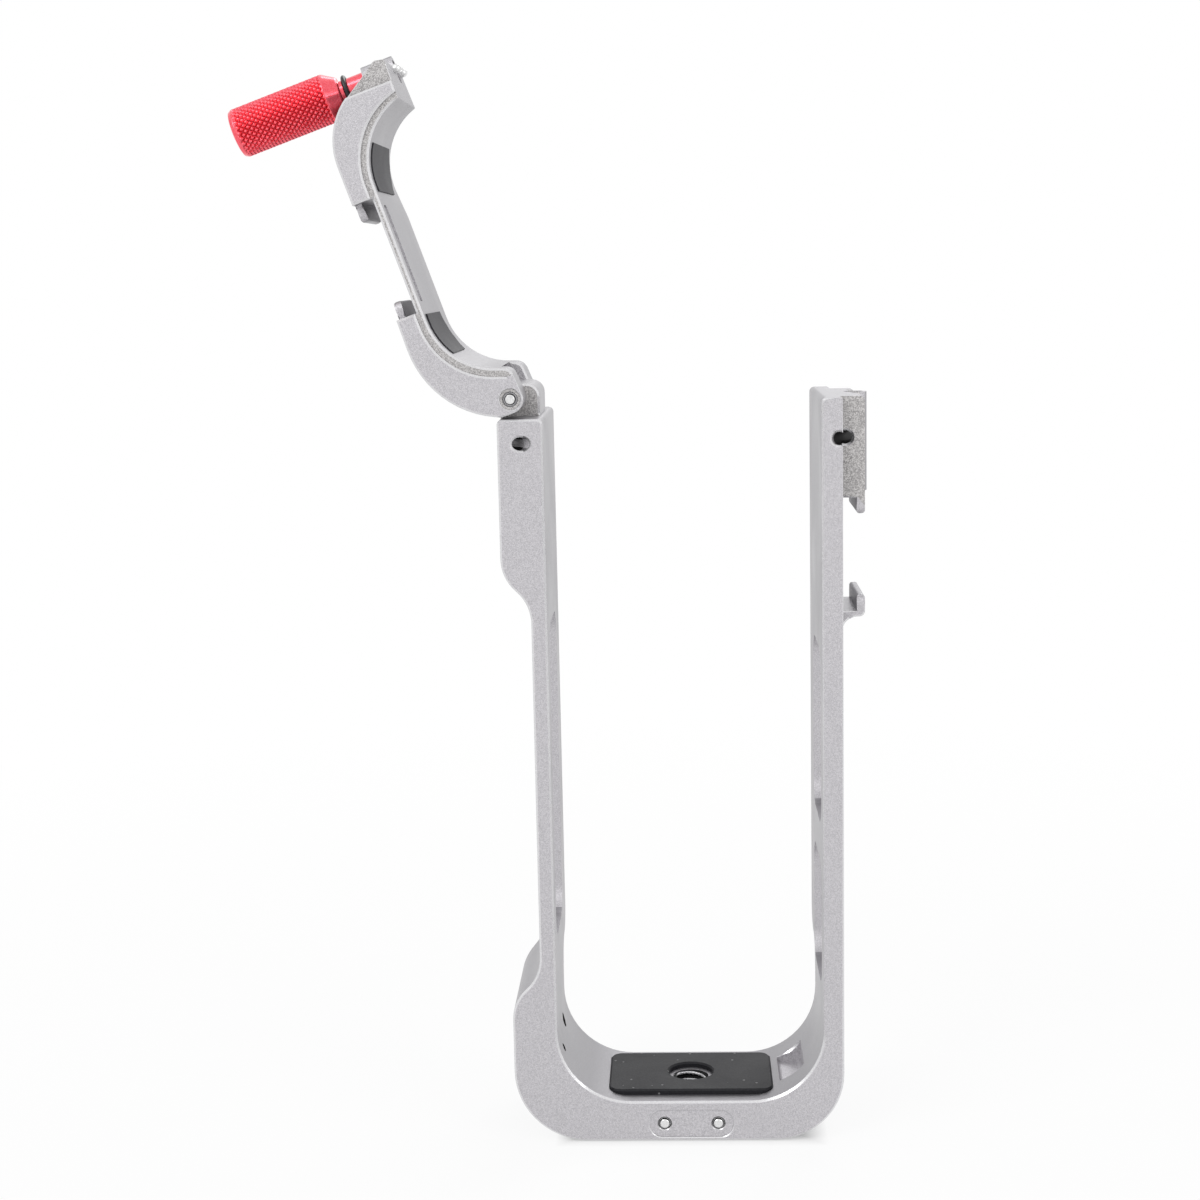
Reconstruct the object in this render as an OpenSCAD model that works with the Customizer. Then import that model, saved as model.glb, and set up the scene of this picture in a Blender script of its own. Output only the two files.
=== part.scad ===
// Camera cage: a U-shaped metal frame, a hinged top arm with a screw latch,
// and two folding tripod fingers in the base. Units are millimetres.
// The origin is the mouth of the tripod thread on the base's underside.
// X runs to the right, Y runs from the front to the back and Z runs up.

/* [Camera bay] */
// Top of the right leg above the underside.
leg_top = 129.55; // [128:0.05:131]
// Radius of the two lower corners inside the bay.
bay_corner_r = 12.8; // [12:0.1:13]
// Thickness of the base under the bay.
base_thick = 7.2; // [7.1:0.1:7.6]

/* [Frame] */
// Depth of the legs and of the arm, front to back.
frame_depth = 33; // [32.6:0.1:33.4]
// Depth of the base, flush with the legs at the front.
base_depth = 24; // [23.6:0.1:24.4]
// Thickness of the left leg.
left_leg_thick = 2.7; // [2.5:0.05:2.9]
// Thickness of the right leg.
right_leg_thick = 3.5; // [3.3:0.05:3.7]
// Thickness of the left leg's upper block and of its foot.
left_block_thick = 7.65; // [7.5:0.05:7.8]
// Top of the left block above the underside.
left_block_top = 126.8; // [126.5:0.05:127]
// Height where the left block narrows to the leg.
shoulder_z = 97.8; // [96:0.1:99]
// Height where the left foot narrows to the leg.
foot_z = 27.8; // [27:0.1:28.5]
// Height span of the two corners in each narrowing.
narrowing_span = 4.7; // [4.5:0.1:5]
// Radius of the corners in each narrowing.
narrowing_r = 7.4; // [7:0.1:7.5]
// Radius of the left outer bottom corner.
left_foot_r = 12.8; // [12:0.1:13]
// Radius of the right outer bottom corner.
right_foot_r = 12; // [11.6:0.1:12.4]
// Height where the legs' back edges step in to the base.
heel_z = 29; // [28:0.1:30]
// Height span of the two corners in that step.
heel_span = 1; // [0.8:0.1:1.2]
// Radius of the corners in that step.
heel_r = 4.4; // [4:0.1:4.5]
// Small radius on the outline's free corners.
edge_r = 0.9; // [0.6:0.1:1]

/* [Windows] */
// Front edge of the leg windows behind the front face.
window_inset = 5; // [4.8:0.1:5.5]
// Width of the leg windows, front to back.
window_width = 20; // [19:0.1:20.5]
// Corner radius of the windows.
window_r = 4.5; // [4:0.1:5]
// Bottom of the left window.
left_window_z = 35; // [34.5:0.1:36]
// Height of the left window.
left_window_h = 56; // [54:0.1:57]
// Bottom of the lower right window.
low_window_z = 26; // [25.5:0.1:27]
// Height of the lower right window.
low_window_h = 22; // [21:0.1:23]
// Bottom of the upper right window.
high_window_z = 55; // [54:0.1:56]
// Height of the upper right window.
high_window_h = 31; // [29:0.1:31.5]

/* [Side shoe] */
// Setback of the block and the hooks behind the front face.
shoe_setback = 3; // [2.8:0.1:3.2]
// Length of the block behind the setback.
block_length = 23; // [22.5:0.1:23.5]
// How far the block and the hooks stand out of the leg.
block_out = 3.9; // [3.8:0.05:4]
// Clear gap between the leg and the hooks' lips.
lip_gap = 2.5; // [2.4:0.05:2.6]
// Height of the lower hook's seat.
shoe_seat_z = 93.2; // [93:0.1:93.4]
// Clear height of the shoe between its two seats.
shoe_height = 19.3; // [19.1:0.1:19.5]
// Reach of each lip over the shoe.
lip_reach = 2.8; // [2.7:0.05:2.9]
// Length of the lips, front to back.
lip_length = 16; // [15.8:0.1:16.2]
// Radius of the lips' tips.
lip_tip_r = 0.65; // [0.5:0.05:0.68]
// Thickness of the web under the lower hook.
hook_web = 1; // [0.95:0.05:1.2]
// Radius of the fillet under that web.
hook_fillet_r = 2.7; // [2.5:0.1:2.9]

/* [Hinge] */
// Hinge axis to the left of the bay's left side.
hinge_out = 5.28; // [5.2:0.02:5.4]
// Hinge axis above the underside.
hinge_z = 130.17; // [130.1:0.02:130.3]
// Radius of the hinge pin.
hinge_pin_r = 0.9; // [0.85:0.01:0.92]
// Radial clearance of a turning pin.
pin_clearance = 0.05; // [0.03:0.01:0.08]
// Radial clearance of a fixed pin.
fixed_clearance = 0.01; // [0.01:0.005:0.02]
// Length of each of the arm's two knuckles.
knuckle_length = 8.5; // [8.3:0.1:8.7]
// Gap between a knuckle and the lug, filled by a washer.
washer_gap = 0.4; // [0.35:0.05:0.5]
// Thickness of the hinge washers.
washer_thick = 0.3; // [0.2:0.05:0.32]
// Outer radius of the hinge washers.
washer_r = 1.8; // [1.6:0.1:1.9]
// Height of the lug above the hinge axis.
lug_above = 2.1; // [2:0.05:2.2]
// Reach of the lug inwards from the hinge axis.
lug_inwards = 4.35; // [4.2:0.05:4.4]
// Radius of the clearance cut in the arm round the lug.
lug_room_r = 5.5; // [5.45:0.05:5.6]
// Radius of the shallow relief round the pin's front end.
pin_relief_r = 1.75; // [1.6:0.05:1.8]
// Depth of the shallow reliefs.
relief_depth = 0.25; // [0.15:0.05:0.3]
// How far the arm stands open.
arm_open_angle = 109.5; // [100:0.5:110]

/* [Arm] */
// Length of the arm from the hinge axis to its front tip; the bay's width follows it.
arm_length = 59.26; // [54:0.02:68]
// The arm's front tip beyond the latch screw's axis.
arm_tip = 1.06; // [1:0.02:1.1]
// Radius of the round boss at the arm's tip.
tip_boss_r = 2.75; // [2.7:0.05:2.9]
// Depth of the dark facet set in at the arm's tip.
facet_depth = 1.5; // [1.2:0.1:1.8]
// Depth of the shallow pocket in the arm's inner face.
arm_pocket_depth = 0.4; // [0.3:0.05:0.5]
// Width of that pocket, from front to back.
arm_pocket_width = 3.4; // [3:0.1:4]
// Depth of the dark band set in along the arm's inner edge.
band_depth = 0.6; // [0.4:0.1:0.8]
// Length of the arm's shoe between its two walls, in hundredths of the arm's length.
shoe_length_share = 33.75; // [33:0.05:34.1]
// Tip-side wall of the arm's shoe from the hinge axis, in hundredths of the arm's length.
shoe_end_share = 65.39; // [65.2:0.01:65.6]
// Floor of the arm's shoe above the hinge axis, in hundredths of the arm's length.
shoe_floor_share = 16.03; // [15.9:0.01:16.2]
// Clear gap between the floor and the arm's lips, in hundredths of the arm's length.
lip_gap_share = 3.544; // [3.4:0.002:3.7]
// Top of the arm's lips above the hinge axis, in hundredths of the arm's length.
lip_top_share = 21.7; // [21.6:0.01:21.8]
// Reach of the arm's lips over its shoe.
arm_lip_reach = 3; // [2.8:0.1:3.2]
// Depth of the rubber pads' seats, nearly the pads' thickness.
pad_seat = 0.7; // [0.6:0.05:0.8]
// How far the rubber pads stand proud of the arm's inner face.
pad_proud = 0.2; // [0.1:0.05:0.3]
// Setback of the pads behind the arm's front face.
pad_setback = 3.5; // [3.2:0.1:3.8]
// Length of the pads, front to back.
pad_length = 21.5; // [21:0.1:22]
// Size of the cut across each rear corner of the arm's pads.
pad_cut = 2.6; // [2.3:0.1:2.8]

/* [Latch] */
// Latch screw's axis to the right of the bay's right side.
latch_out = 6.52; // [6.5:0.02:6.56]
// Latch screw's axis behind the front face.
latch_y = 16; // [15.8:0.1:16.2]
// Spacing of the two locating pins.
locator_spacing = 8; // [7.8:0.1:8.2]
// Radius of the locating pins.
locator_r = 0.78; // [0.75:0.01:0.8]
// How far the locating pins reach below the arm.
locator_reach = 1.3; // [1.2:0.05:1.4]
// Depth of the locating pins in the arm.
locator_grip = 3; // [2.6:0.1:3.2]
// Radial clearance of the locating pins' sockets.
socket_clearance = 0.12; // [0.1:0.01:0.15]
// Underside of the arm's tip below the hinge axis.
tip_under = 0.45; // [0.4:0.01:0.48]
// Radius of the screw's round boss on the right leg.
boss_r = 2.3; // [2.2:0.05:2.35]
// Radius of the latch screw.
screw_r = 1.1; // [1.05:0.01:1.12]
// Inner radius of the thread insert.
insert_bore_r = 1.28; // [1.25:0.01:1.3]
// Outer radius of the thread insert.
insert_r = 1.65; // [1.62:0.01:1.68]
// Length of the thread insert.
insert_length = 5; // [4.5:0.1:5.5]
// Depth of the countersunk mouth above the insert.
mouth_depth = 0.9; // [0.8:0.05:1]
// Radius of the knob.
knob_r = 4.2; // [4.1:0.05:4.3]
// Length of the knob's grip.
knob_grip = 17.4; // [16.7:0.1:17.7]
// Underside of the knob's cone above the hinge axis.
knob_base = 9.7; // [9.6:0.1:9.8]
// Height of the knob's cone.
knob_cone = 2.1; // [1.9:0.1:2.2]
// Radius of the knob's neck.
neck_r = 2; // [1.95:0.01:2.02]
// Lower end of the neck above the hinge axis.
neck_end = 2.8; // [2.75:0.05:2.9]
// Travel of the knob when it is screwed down.
knob_travel = 3; // [2.8:0.1:3.1]
// Outer radius of the retaining ring.
ring_r = 2.75; // [2.7:0.05:2.8]
// Thickness of the retaining ring.
ring_thick = 0.8; // [0.7:0.05:0.9]
// Depth of the groove that holds the ring.
ring_groove = 0.3; // [0.2:0.05:0.4]
// Seat for the ring on the arm, above the hinge axis.
ring_seat = 5.1; // [5:0.05:5.2]

/* [Lanyard holes] */
// Radius of the two lanyard holes.
lanyard_r = 1.12; // [1:0.02:1.15]
// Height of the lanyard holes.
lanyard_z = 122.7; // [122:0.1:123]
// Turn of the left hole from the front face's normal.
left_lanyard_turn = 41; // [39:0.5:43]
// Left hole's mouth outwards from the bay's side.
left_lanyard_out = 3.73; // [3.7:0.01:3.8]
// Turn of the right hole from the front face's normal.
right_lanyard_turn = 22; // [20:0.5:24]
// Right hole's mouth outwards from the bay's side.
right_lanyard_out = 4.1; // [4:0.02:4.2]

/* [Base pad] */
// Floor left bare between the rubber pad and each side of the bay.
base_pad_inset = 8.7; // [8.5:0.05:8.9]
// Depth of the rubber pad, front to back.
base_pad_depth = 17.8; // [17.4:0.1:18.2]
// Thickness of the rubber pad.
base_pad_thick = 1; // [0.9:0.05:1.1]
// Corner radius of the rubber pad.
base_pad_r = 2; // [1.8:0.1:2.2]
// Radius of the hole in the rubber pad.
base_pad_hole_r = 3.95; // [3.9:0.05:4.1]

/* [Tripod mounts] */
// Wall radius of the quarter-inch tripod thread.
tripod_thread_r = 3.175; // [3.15:0.005:3.2]
// Finger pins to each side of the base's centre.
finger_pin_x = 4.7; // [4.68:0.02:4.76]
// Finger pins above the underside.
finger_pin_z = 3.08; // [3.06:0.01:3.1]
// Radius of the finger pins.
finger_pin_r = 0.9; // [0.85:0.01:0.92]
// Thickness of the folding fingers.
finger_thick = 2.9; // [2.8:0.05:2.95]
// Width of the folding fingers.
finger_width = 13; // [12.8:0.1:13.1]
// Radius of the fingers' screw holes.
finger_hole_r = 2.5; // [2.45:0.01:2.55]
// Screw hole from the finger's pin.
finger_reach = 9.8; // [9.6:0.1:9.9]
// Radius of the fingers' rounded ends.
finger_end_r = 6.4; // [6.2:0.1:6.45]
// Inner face of the fingers' knuckles from the centre.
finger_knuckle_in = 4; // [3.95:0.05:4.05]
// Radius of the fingers' knuckles.
finger_knuckle_r = 1.9; // [1.8:0.05:1.95]
// Room round a finger in its pocket.
pocket_room = 0.3; // [0.25:0.05:0.35]
// Thickness of the friction washers behind the fingers.
finger_washer = 0.4; // [0.35:0.05:0.45]
// Half length of the stadium relief on the base's front.
stadium_half = 7.35; // [7.2:0.05:7.5]
// Radius of that relief's ends.
stadium_r = 2.45; // [2.4:0.05:2.5]

/* [Corner holes] */
// Radius of the larger hole in the left inner corner.
corner_hole_r = 1.25; // [1.2:0.05:1.3]
// Height of the larger hole.
corner_hole_z = 17; // [16.8:0.1:17.2]
// The larger hole behind the front face.
corner_hole_y = 14.5; // [14:0.1:15]
// Radius of the smaller hole.
small_hole_r = 0.7; // [0.65:0.05:0.8]
// Height of the smaller hole.
small_hole_z = 15.4; // [15.2:0.1:15.6]
// The smaller hole behind the front face.
small_hole_y = 5; // [4.8:0.1:5.4]
// Depth of the two holes into the corner.
corner_hole_depth = 4; // [3.6:0.1:4.2]
// Left edge of the milled pocket in the right inner corner, from the bay's side.
corner_pocket_inset = 7.5; // [7.2:0.1:7.7]
// Width of the milled pocket.
corner_pocket_width = 4.4; // [4.2:0.1:4.6]
// Length of the milled pocket, front to back.
corner_pocket_length = 11; // [10.5:0.1:11.5]
// Floor of the milled pocket above the underside.
corner_pocket_z = 7.6; // [7.4:0.1:7.8]

/* [Hidden] */
$fn = 48;
arc_step = 6;
full_turn = 360;
half_turn = full_turn / 2;
quarter_turn = full_turn / 4;
margin = 1;

half_bay = (arm_length - arm_tip - hinge_out - latch_out) / 2;
hinge_x = half_bay + hinge_out;
latch_row_x = half_bay + latch_out;
latch_x = hinge_x + latch_row_x;
base_pad_width = 2 * (half_bay - base_pad_inset);
front_y = -base_depth / 2;
back_y = front_y + frame_depth;
base_back_y = front_y + base_depth;
left_out = -half_bay - left_leg_thick;
left_block_out = -half_bay - left_block_thick;
right_out = half_bay + right_leg_thick;
shoulder_half = narrowing_span / 2;
shoe_y = front_y + shoe_setback;
block_x = right_out + block_out;
lip_x = right_out + lip_gap;
shoe_top_z = shoe_seat_z + shoe_height;
lug_front_y = front_y + knuckle_length + washer_gap;
lug_back_y = back_y - knuckle_length - washer_gap;
latch_row_y = front_y + latch_y;
arm_unit = arm_length / 100;
tip_share = -tip_under / arm_unit;
arm_shoe_length = shoe_length_share * arm_unit;
arm_shoe_end = shoe_end_share * arm_unit;
arm_shoe_floor = shoe_floor_share * arm_unit;
arm_lip_z = arm_shoe_floor + lip_gap_share * arm_unit;
// Outline of the closed arm from the hinge axis, X and Z and corner radius in hundredths of its length.
outer_shares = [[99.4, tip_share, 0.5], [100, 2.1, 1], [87.6, 21.85, 20], [37.9, 21.85, 0],
    [4.5, 22.5, 28.2], [-3.95, 4.1, 2.4], [-3.95, -3.9, 3.85], [7.8, -3.2, 3], [8.86, -1, 0.8]];
inner_shares = [[14.2, 14.3, 20.2], [83.6, 14.2, 20.2], [88.2, tip_share, 0.4]];
band_shares = [[6.2, -1.5, 0.4], [12.6, 16.4, 21.6], [85.2, 16.4, 21.6], [90.2, -1.5, 0],
    [90.2, -8, 0], [6.2, -8, 0]];
facet_shares = [[93.2, -2, 0], [93.2, 30, 0], [110, 30, 0], [110, -2, 0]];
latch_elbow_share = 68.7;
hinge_elbow_share = 28.5;
elbow_z_share = -6;
elbow_r_share = 20.2;
pocket_shares = [34.5, 63];
// Plan of what the arm loses at the back of its tip, X and Y from the front face in the same hundredths.
taper_shares = [[56, 58, 0], [59, 55.8, 12], [69, 48.5, 14], [90, 39, 20], [110, 33.5, 0], [110, 58, 0]];
frame_colour = [0.72, 0.72, 0.74];
arm_colour = [0.68, 0.68, 0.70];
rubber_colour = [0.2, 0.2, 0.22];
steel_colour = [0.8, 0.8, 0.82];
knob_colour = [0.8, 0.15, 0.2];
ring_colour = [0.08, 0.08, 0.09];

function unit(v) = v / norm(v);
function wrap(a) = a > half_turn ? a - full_turn : a < -half_turn ? a + full_turn : a;
function arc(c, r, from, sweep) =
    let (n = max(1, ceil(abs(sweep) / arc_step)))
    [for (i = [0 : n]) c + r * [cos(from + sweep * i / n), sin(from + sweep * i / n)]];
function corner(a, p, b, r) = r == 0 ? [p] :
    let (u = unit(a - p), v = unit(b - p), half = acos(u * v) / 2,
        c = p + unit(u + v) * r / sin(half), s = p + u * r / tan(half) - c,
        e = p + v * r / tan(half) - c, from = atan2(s[1], s[0]))
    arc(c, r, from, wrap(atan2(e[1], e[0]) - from));
function place(p) = [p[0], p[1]];
function rounded(list) =
    let (n = len(list))
    [for (i = [0 : n - 1])
        each corner(place(list[(i + n - 1) % n]), place(list[i]), place(list[(i + 1) % n]), list[i][2])];
function rectangle(x, z, w, h, r) = rounded([[x, z, r], [x + w, z, r], [x + w, z + h, r], [x, z + h, r]]);

// Extrudes an outline drawn in X and Z along Y.
module along_y(points, y, length) {
    translate([0, y + length, 0])
        rotate([quarter_turn, 0, 0])
            linear_extrude(length)
                polygon(points);
}

// Extrudes an outline drawn in Y and Z along X.
module along_x(points, x, length) {
    translate([x, 0, 0])
        rotate([quarter_turn, 0, quarter_turn])
            linear_extrude(length)
                polygon(points);
}

// A rod along Y.
module rod_y(x, z, r, y, length) {
    translate([x, y + length, z])
        rotate([quarter_turn, 0, 0])
            cylinder(h = length, r = r);
}

// A rod along X.
module rod_x(y, z, r, x, length) {
    translate([x, y, z])
        rotate([0, quarter_turn, 0])
            cylinder(h = length, r = r);
}

// A rod along Z.
module rod_z(x, y, r, z, length) {
    translate([x, y, z])
        cylinder(h = length, r = r);
}

// Carries the arm and all that rides it from closed to open.
module opened() {
    translate([-hinge_x, 0, hinge_z])
        rotate([0, -arm_open_angle, 0])
            children();
}

module u_outline() {
    along_y(rounded([
        [left_block_out, left_block_top, edge_r],
        [left_block_out, shoulder_z + shoulder_half, narrowing_r],
        [left_out, shoulder_z - shoulder_half, narrowing_r],
        [left_out, foot_z + shoulder_half, narrowing_r],
        [left_block_out, foot_z - shoulder_half, narrowing_r],
        [left_block_out, 0, left_foot_r],
        [right_out, 0, right_foot_r],
        [right_out, leg_top, edge_r / 2],
        [half_bay, leg_top, edge_r],
        [half_bay, base_thick, bay_corner_r],
        [-half_bay, base_thick, bay_corner_r],
        [-half_bay, left_block_top, edge_r]]), front_y, frame_depth);
}

module side_outline() {
    along_x(rounded([
        [front_y, 0, 0],
        [base_back_y, 0, edge_r],
        [base_back_y, heel_z - heel_span / 2, heel_r],
        [back_y, heel_z + heel_span / 2, heel_r],
        [back_y, leg_top + margin, 0],
        [front_y, leg_top + margin, 0]]), left_block_out - margin, block_x - left_block_out + 2 * margin);
}

module window(x, z, h) {
    along_x(rectangle(front_y + window_inset, z, window_width, h, window_r), x,
        left_leg_thick + right_leg_thick);
}

// The block and the lip over the shoe, on the right leg.
module shoe_block() {
    along_y(rounded([
        [half_bay + right_leg_thick / 2, shoe_top_z, 0],
        [block_x, shoe_top_z, 0],
        [block_x, leg_top, edge_r],
        [half_bay + right_leg_thick / 2, leg_top, 0]]), shoe_y, block_length);
    intersection() {
        along_y(rounded([
            [lip_x, shoe_top_z - lip_reach, lip_tip_r],
            [block_x, shoe_top_z - lip_reach, lip_tip_r],
            [block_x, shoe_top_z + margin, 0],
            [lip_x, shoe_top_z + margin, 0]]), shoe_y, lip_length);
        along_x(rectangle(shoe_y, shoe_top_z - lip_reach, lip_length, 3 * lip_reach, lip_reach / 2),
            lip_x - margin, block_out);
    }
    rod_z(latch_row_x, latch_row_y, boss_r, shoe_top_z, leg_top - shoe_top_z);
}

// The hook under the shoe, on the right leg.
module shoe_hook() {
    intersection() {
        along_y(rounded([
            [half_bay + right_leg_thick / 2, shoe_seat_z, 0],
            [lip_x, shoe_seat_z, 0],
            [lip_x, shoe_seat_z + lip_reach, lip_tip_r],
            [block_x, shoe_seat_z + lip_reach, lip_tip_r],
            [block_x, shoe_seat_z - hook_web, edge_r],
            [right_out, shoe_seat_z - hook_web, hook_fillet_r],
            [right_out, shoe_seat_z - 2 * hook_fillet_r, 0],
            [half_bay + right_leg_thick / 2, shoe_seat_z - 2 * hook_fillet_r, 0]]), shoe_y, lip_length);
        along_x(rectangle(shoe_y, shoe_seat_z - 3 * hook_fillet_r, lip_length,
            3 * hook_fillet_r + lip_reach, lip_reach / 2), half_bay, 2 * block_out);
    }
}

// The hinge's lug on the left block.
module hinge_lug() {
    along_y(rounded([
        [left_block_out, left_block_top - margin, 0],
        [-hinge_x + lug_inwards, left_block_top - margin, 0],
        [-hinge_x + lug_inwards, hinge_z + lug_above, 2.5 * edge_r],
        [left_block_out, hinge_z + lug_above, 2.4 * edge_r]]), lug_front_y, lug_back_y - lug_front_y);
}

finger_half = finger_width / 2;
pocket_half = finger_half + finger_washer;
finger_end = finger_reach + finger_end_r;
pocket_end = finger_pin_x + finger_end + pocket_room;
pocket_roof = finger_thick + pocket_room;
boss_half = finger_knuckle_in - pocket_room;
web_half = 1.3 * margin;
foot_x = right_out - right_foot_r;
plate_start = finger_pin_x + 3.5 * margin;

// One finger pocket in the base, drawn for the right finger, with its boss rounded about the pin.
module finger_pocket() {
    difference() {
        translate([finger_pin_x, -pocket_half, -margin])
            cube([plate_start - finger_pin_x, 2 * pocket_half, finger_pin_z + margin]);
        rod_y(finger_pin_x, finger_pin_z, plate_start - finger_pin_x - pocket_room, -finger_width,
            2 * finger_width);
    }
    translate([plate_start - pocket_room, -pocket_half, -margin])
        cube([pocket_end - plate_start + pocket_room, 2 * pocket_half, pocket_roof + margin]);
    for (side = [-1, 1]) {
        at = side < 0 ? -pocket_half : boss_half;
        translate([finger_pin_x, at, -margin])
            cube([plate_start - finger_pin_x, pocket_half - boss_half, pocket_roof + margin]);
        rod_y(finger_pin_x, finger_pin_z, finger_knuckle_r + pocket_room, at, pocket_half - boss_half);
        translate([web_half, at, -margin])
            cube([finger_pin_x - web_half, pocket_half - boss_half, finger_pin_z + margin]);
    }
}

module cage_frame() {
    color(frame_colour)
    difference() {
        union() {
            intersection() {
                u_outline();
                side_outline();
            }
            shoe_block();
            shoe_hook();
            hinge_lug();
        }
        window(left_out - left_leg_thick, left_window_z, left_window_h);
        window(half_bay - margin, low_window_z, low_window_h);
        window(half_bay - margin, high_window_z, high_window_h);
        rod_y(-hinge_x, hinge_z, hinge_pin_r + fixed_clearance, front_y, frame_depth);
        translate([-half_bay - left_lanyard_out, front_y, lanyard_z])
            rotate([quarter_turn, 0, left_lanyard_turn])
                cylinder(h = 6 * left_block_thick, r = lanyard_r, center = true);
        translate([half_bay + right_lanyard_out, shoe_y, lanyard_z])
            rotate([quarter_turn, 0, -right_lanyard_turn])
                cylinder(h = 6 * block_out, r = lanyard_r, center = true);
        for (side = [-1, 1]) {
            rod_z(latch_row_x, latch_row_y + side * locator_spacing / 2, locator_r + socket_clearance,
                leg_top - 2 * locator_reach, 3 * locator_reach);
        }
        rod_z(latch_row_x, latch_row_y, insert_r + fixed_clearance, leg_top - mouth_depth - insert_length,
            2 * insert_length);
        rod_z(latch_row_x, latch_row_y, insert_bore_r, leg_top - mouth_depth - 2 * insert_length,
            2 * insert_length);
        rod_z(0, 0, tripod_thread_r, -margin, base_thick + 2 * margin);
        translate([0, 0, base_thick])
            linear_extrude(2 * base_pad_thick)
                polygon(rectangle(-base_pad_width / 2 - pin_clearance, -base_pad_depth / 2 - pin_clearance,
                    base_pad_width + 2 * pin_clearance, base_pad_depth + 2 * pin_clearance, base_pad_r));
        finger_pocket();
        mirror([1, 0, 0]) finger_pocket();
        for (side = [-1, 1]) {
            rod_y(side * finger_pin_x, finger_pin_z, finger_pin_r + fixed_clearance, front_y - margin,
                base_depth / 2 + pocket_half + 3 * margin);
        }
        along_y(rectangle(-stadium_half, finger_pin_z - stadium_r, 2 * stadium_half, 2 * stadium_r,
            stadium_r - edge_r / 9), front_y - margin, margin + relief_depth);
        rod_x(front_y + corner_hole_y, corner_hole_z, corner_hole_r, left_out, corner_hole_depth);
        rod_x(front_y + small_hole_y, small_hole_z, small_hole_r, left_out, corner_hole_depth);
        along_y(rectangle(half_bay - corner_pocket_inset, corner_pocket_z, corner_pocket_width, bay_corner_r,
            edge_r), -corner_pocket_length / 2, corner_pocket_length);
    }
}

module base_pad() {
    color(rubber_colour)
    difference() {
        translate([0, 0, base_thick])
            linear_extrude(base_pad_thick)
                polygon(rectangle(-base_pad_width / 2, -base_pad_depth / 2, base_pad_width, base_pad_depth,
                    base_pad_r));
        rod_z(0, 0, base_pad_hole_r, base_thick - margin, base_pad_thick + 2 * margin);
    }
}

// One finger, folded, drawn for the right side; its end follows the base's rounded corner.
module finger() {
    difference() {
        union() {
            intersection() {
                translate([plate_start, -finger_half, 0])
                    cube([finger_end - plate_start + finger_pin_x, finger_width, finger_thick]);
                rod_z(finger_pin_x + finger_reach, 0, finger_end_r + margin / 9, -margin,
                    finger_thick + 2 * margin);
            }
            translate([plate_start, -finger_half, 0])
                cube([finger_reach - plate_start + finger_pin_x, finger_width, finger_thick]);
            for (side = [-1, 1]) {
                at = side < 0 ? -finger_half : finger_knuckle_in;
                translate([finger_pin_x, at, finger_pin_z - finger_knuckle_r])
                    cube([plate_start - finger_pin_x + margin, finger_half - finger_knuckle_in,
                        finger_thick - finger_pin_z + finger_knuckle_r]);
                rod_y(finger_pin_x, finger_pin_z, finger_knuckle_r, at, finger_half - finger_knuckle_in);
            }
        }
        rod_z(finger_pin_x + finger_reach, 0, finger_hole_r, -margin, finger_thick + 2 * margin);
        rod_y(finger_pin_x, finger_pin_z, finger_pin_r + pin_clearance, -finger_width, 2 * finger_width);
        along_y(concat(arc([foot_x, right_foot_r], right_foot_r, -quarter_turn, quarter_turn),
            [[right_out, -margin], [foot_x, -margin]]), -finger_width, 2 * finger_width);
    }
}

module finger_right() {
    color(frame_colour) finger();
}

module finger_left() {
    color(frame_colour) mirror([1, 0, 0]) finger();
}

module finger_pin(side) {
    color(steel_colour)
        rod_y(side * finger_pin_x, finger_pin_z, finger_pin_r, front_y + relief_depth / 2,
            base_depth / 2 + pocket_half + margin);
}

module finger_pin_left() {
    finger_pin(-1);
}

module finger_pin_right() {
    finger_pin(1);
}

module finger_washer_ring(side) {
    color(steel_colour)
    difference() {
        rod_y(side * finger_pin_x, finger_pin_z, finger_knuckle_r, finger_half + pin_clearance,
            finger_washer - 2 * pin_clearance);
        rod_y(side * finger_pin_x, finger_pin_z, finger_pin_r + pin_clearance, finger_half - margin,
            3 * margin);
    }
}

module finger_washer_left() {
    finger_washer_ring(-1);
}

module finger_washer_right() {
    finger_washer_ring(1);
}

module hinge_pin() {
    color(steel_colour)
        rod_y(-hinge_x, hinge_z, hinge_pin_r, front_y, frame_depth);
}

module hinge_washer(y) {
    color(steel_colour)
    difference() {
        rod_y(-hinge_x, hinge_z, washer_r, y, washer_thick);
        rod_y(-hinge_x, hinge_z, hinge_pin_r + pin_clearance, y - margin, washer_thick + 2 * margin);
    }
}

module hinge_washer_front() {
    hinge_washer(lug_front_y - (washer_gap + washer_thick) / 2);
}

module hinge_washer_rear() {
    hinge_washer(lug_back_y + (washer_gap - washer_thick) / 2);
}

function scaled(list) = [for (p = list) [p[0] * arm_unit, p[1] * arm_unit, p[2] * arm_unit]];
// A curved slab on one of the arm's elbows, between two angles.
function slab(x, inside, outside, from, sweep) =
    let (c = [x, elbow_z_share] * arm_unit, r = elbow_r_share * arm_unit)
    concat(arc(c, r - inside, from, sweep), arc(c, r + outside, from + sweep, -sweep));

hinge_pad_from = 84;
latch_pad_from = 56;
pad_sweep = 39;

// One lip over the arm's shoe, drawn for the hinge side.
module arm_lip(wall, way) {
    intersection() {
        along_y(rectangle(wall - (way > 0 ? margin : arm_lip_reach), arm_lip_z,
            arm_lip_reach + margin, lip_top_share * arm_unit - arm_lip_z, edge_r / 2), shoe_y, lip_length);
        linear_extrude(frame_depth)
            polygon(rectangle(wall - arm_lip_reach, shoe_y, 2 * arm_lip_reach, lip_length,
                arm_lip_reach / 2));
    }
}

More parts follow.
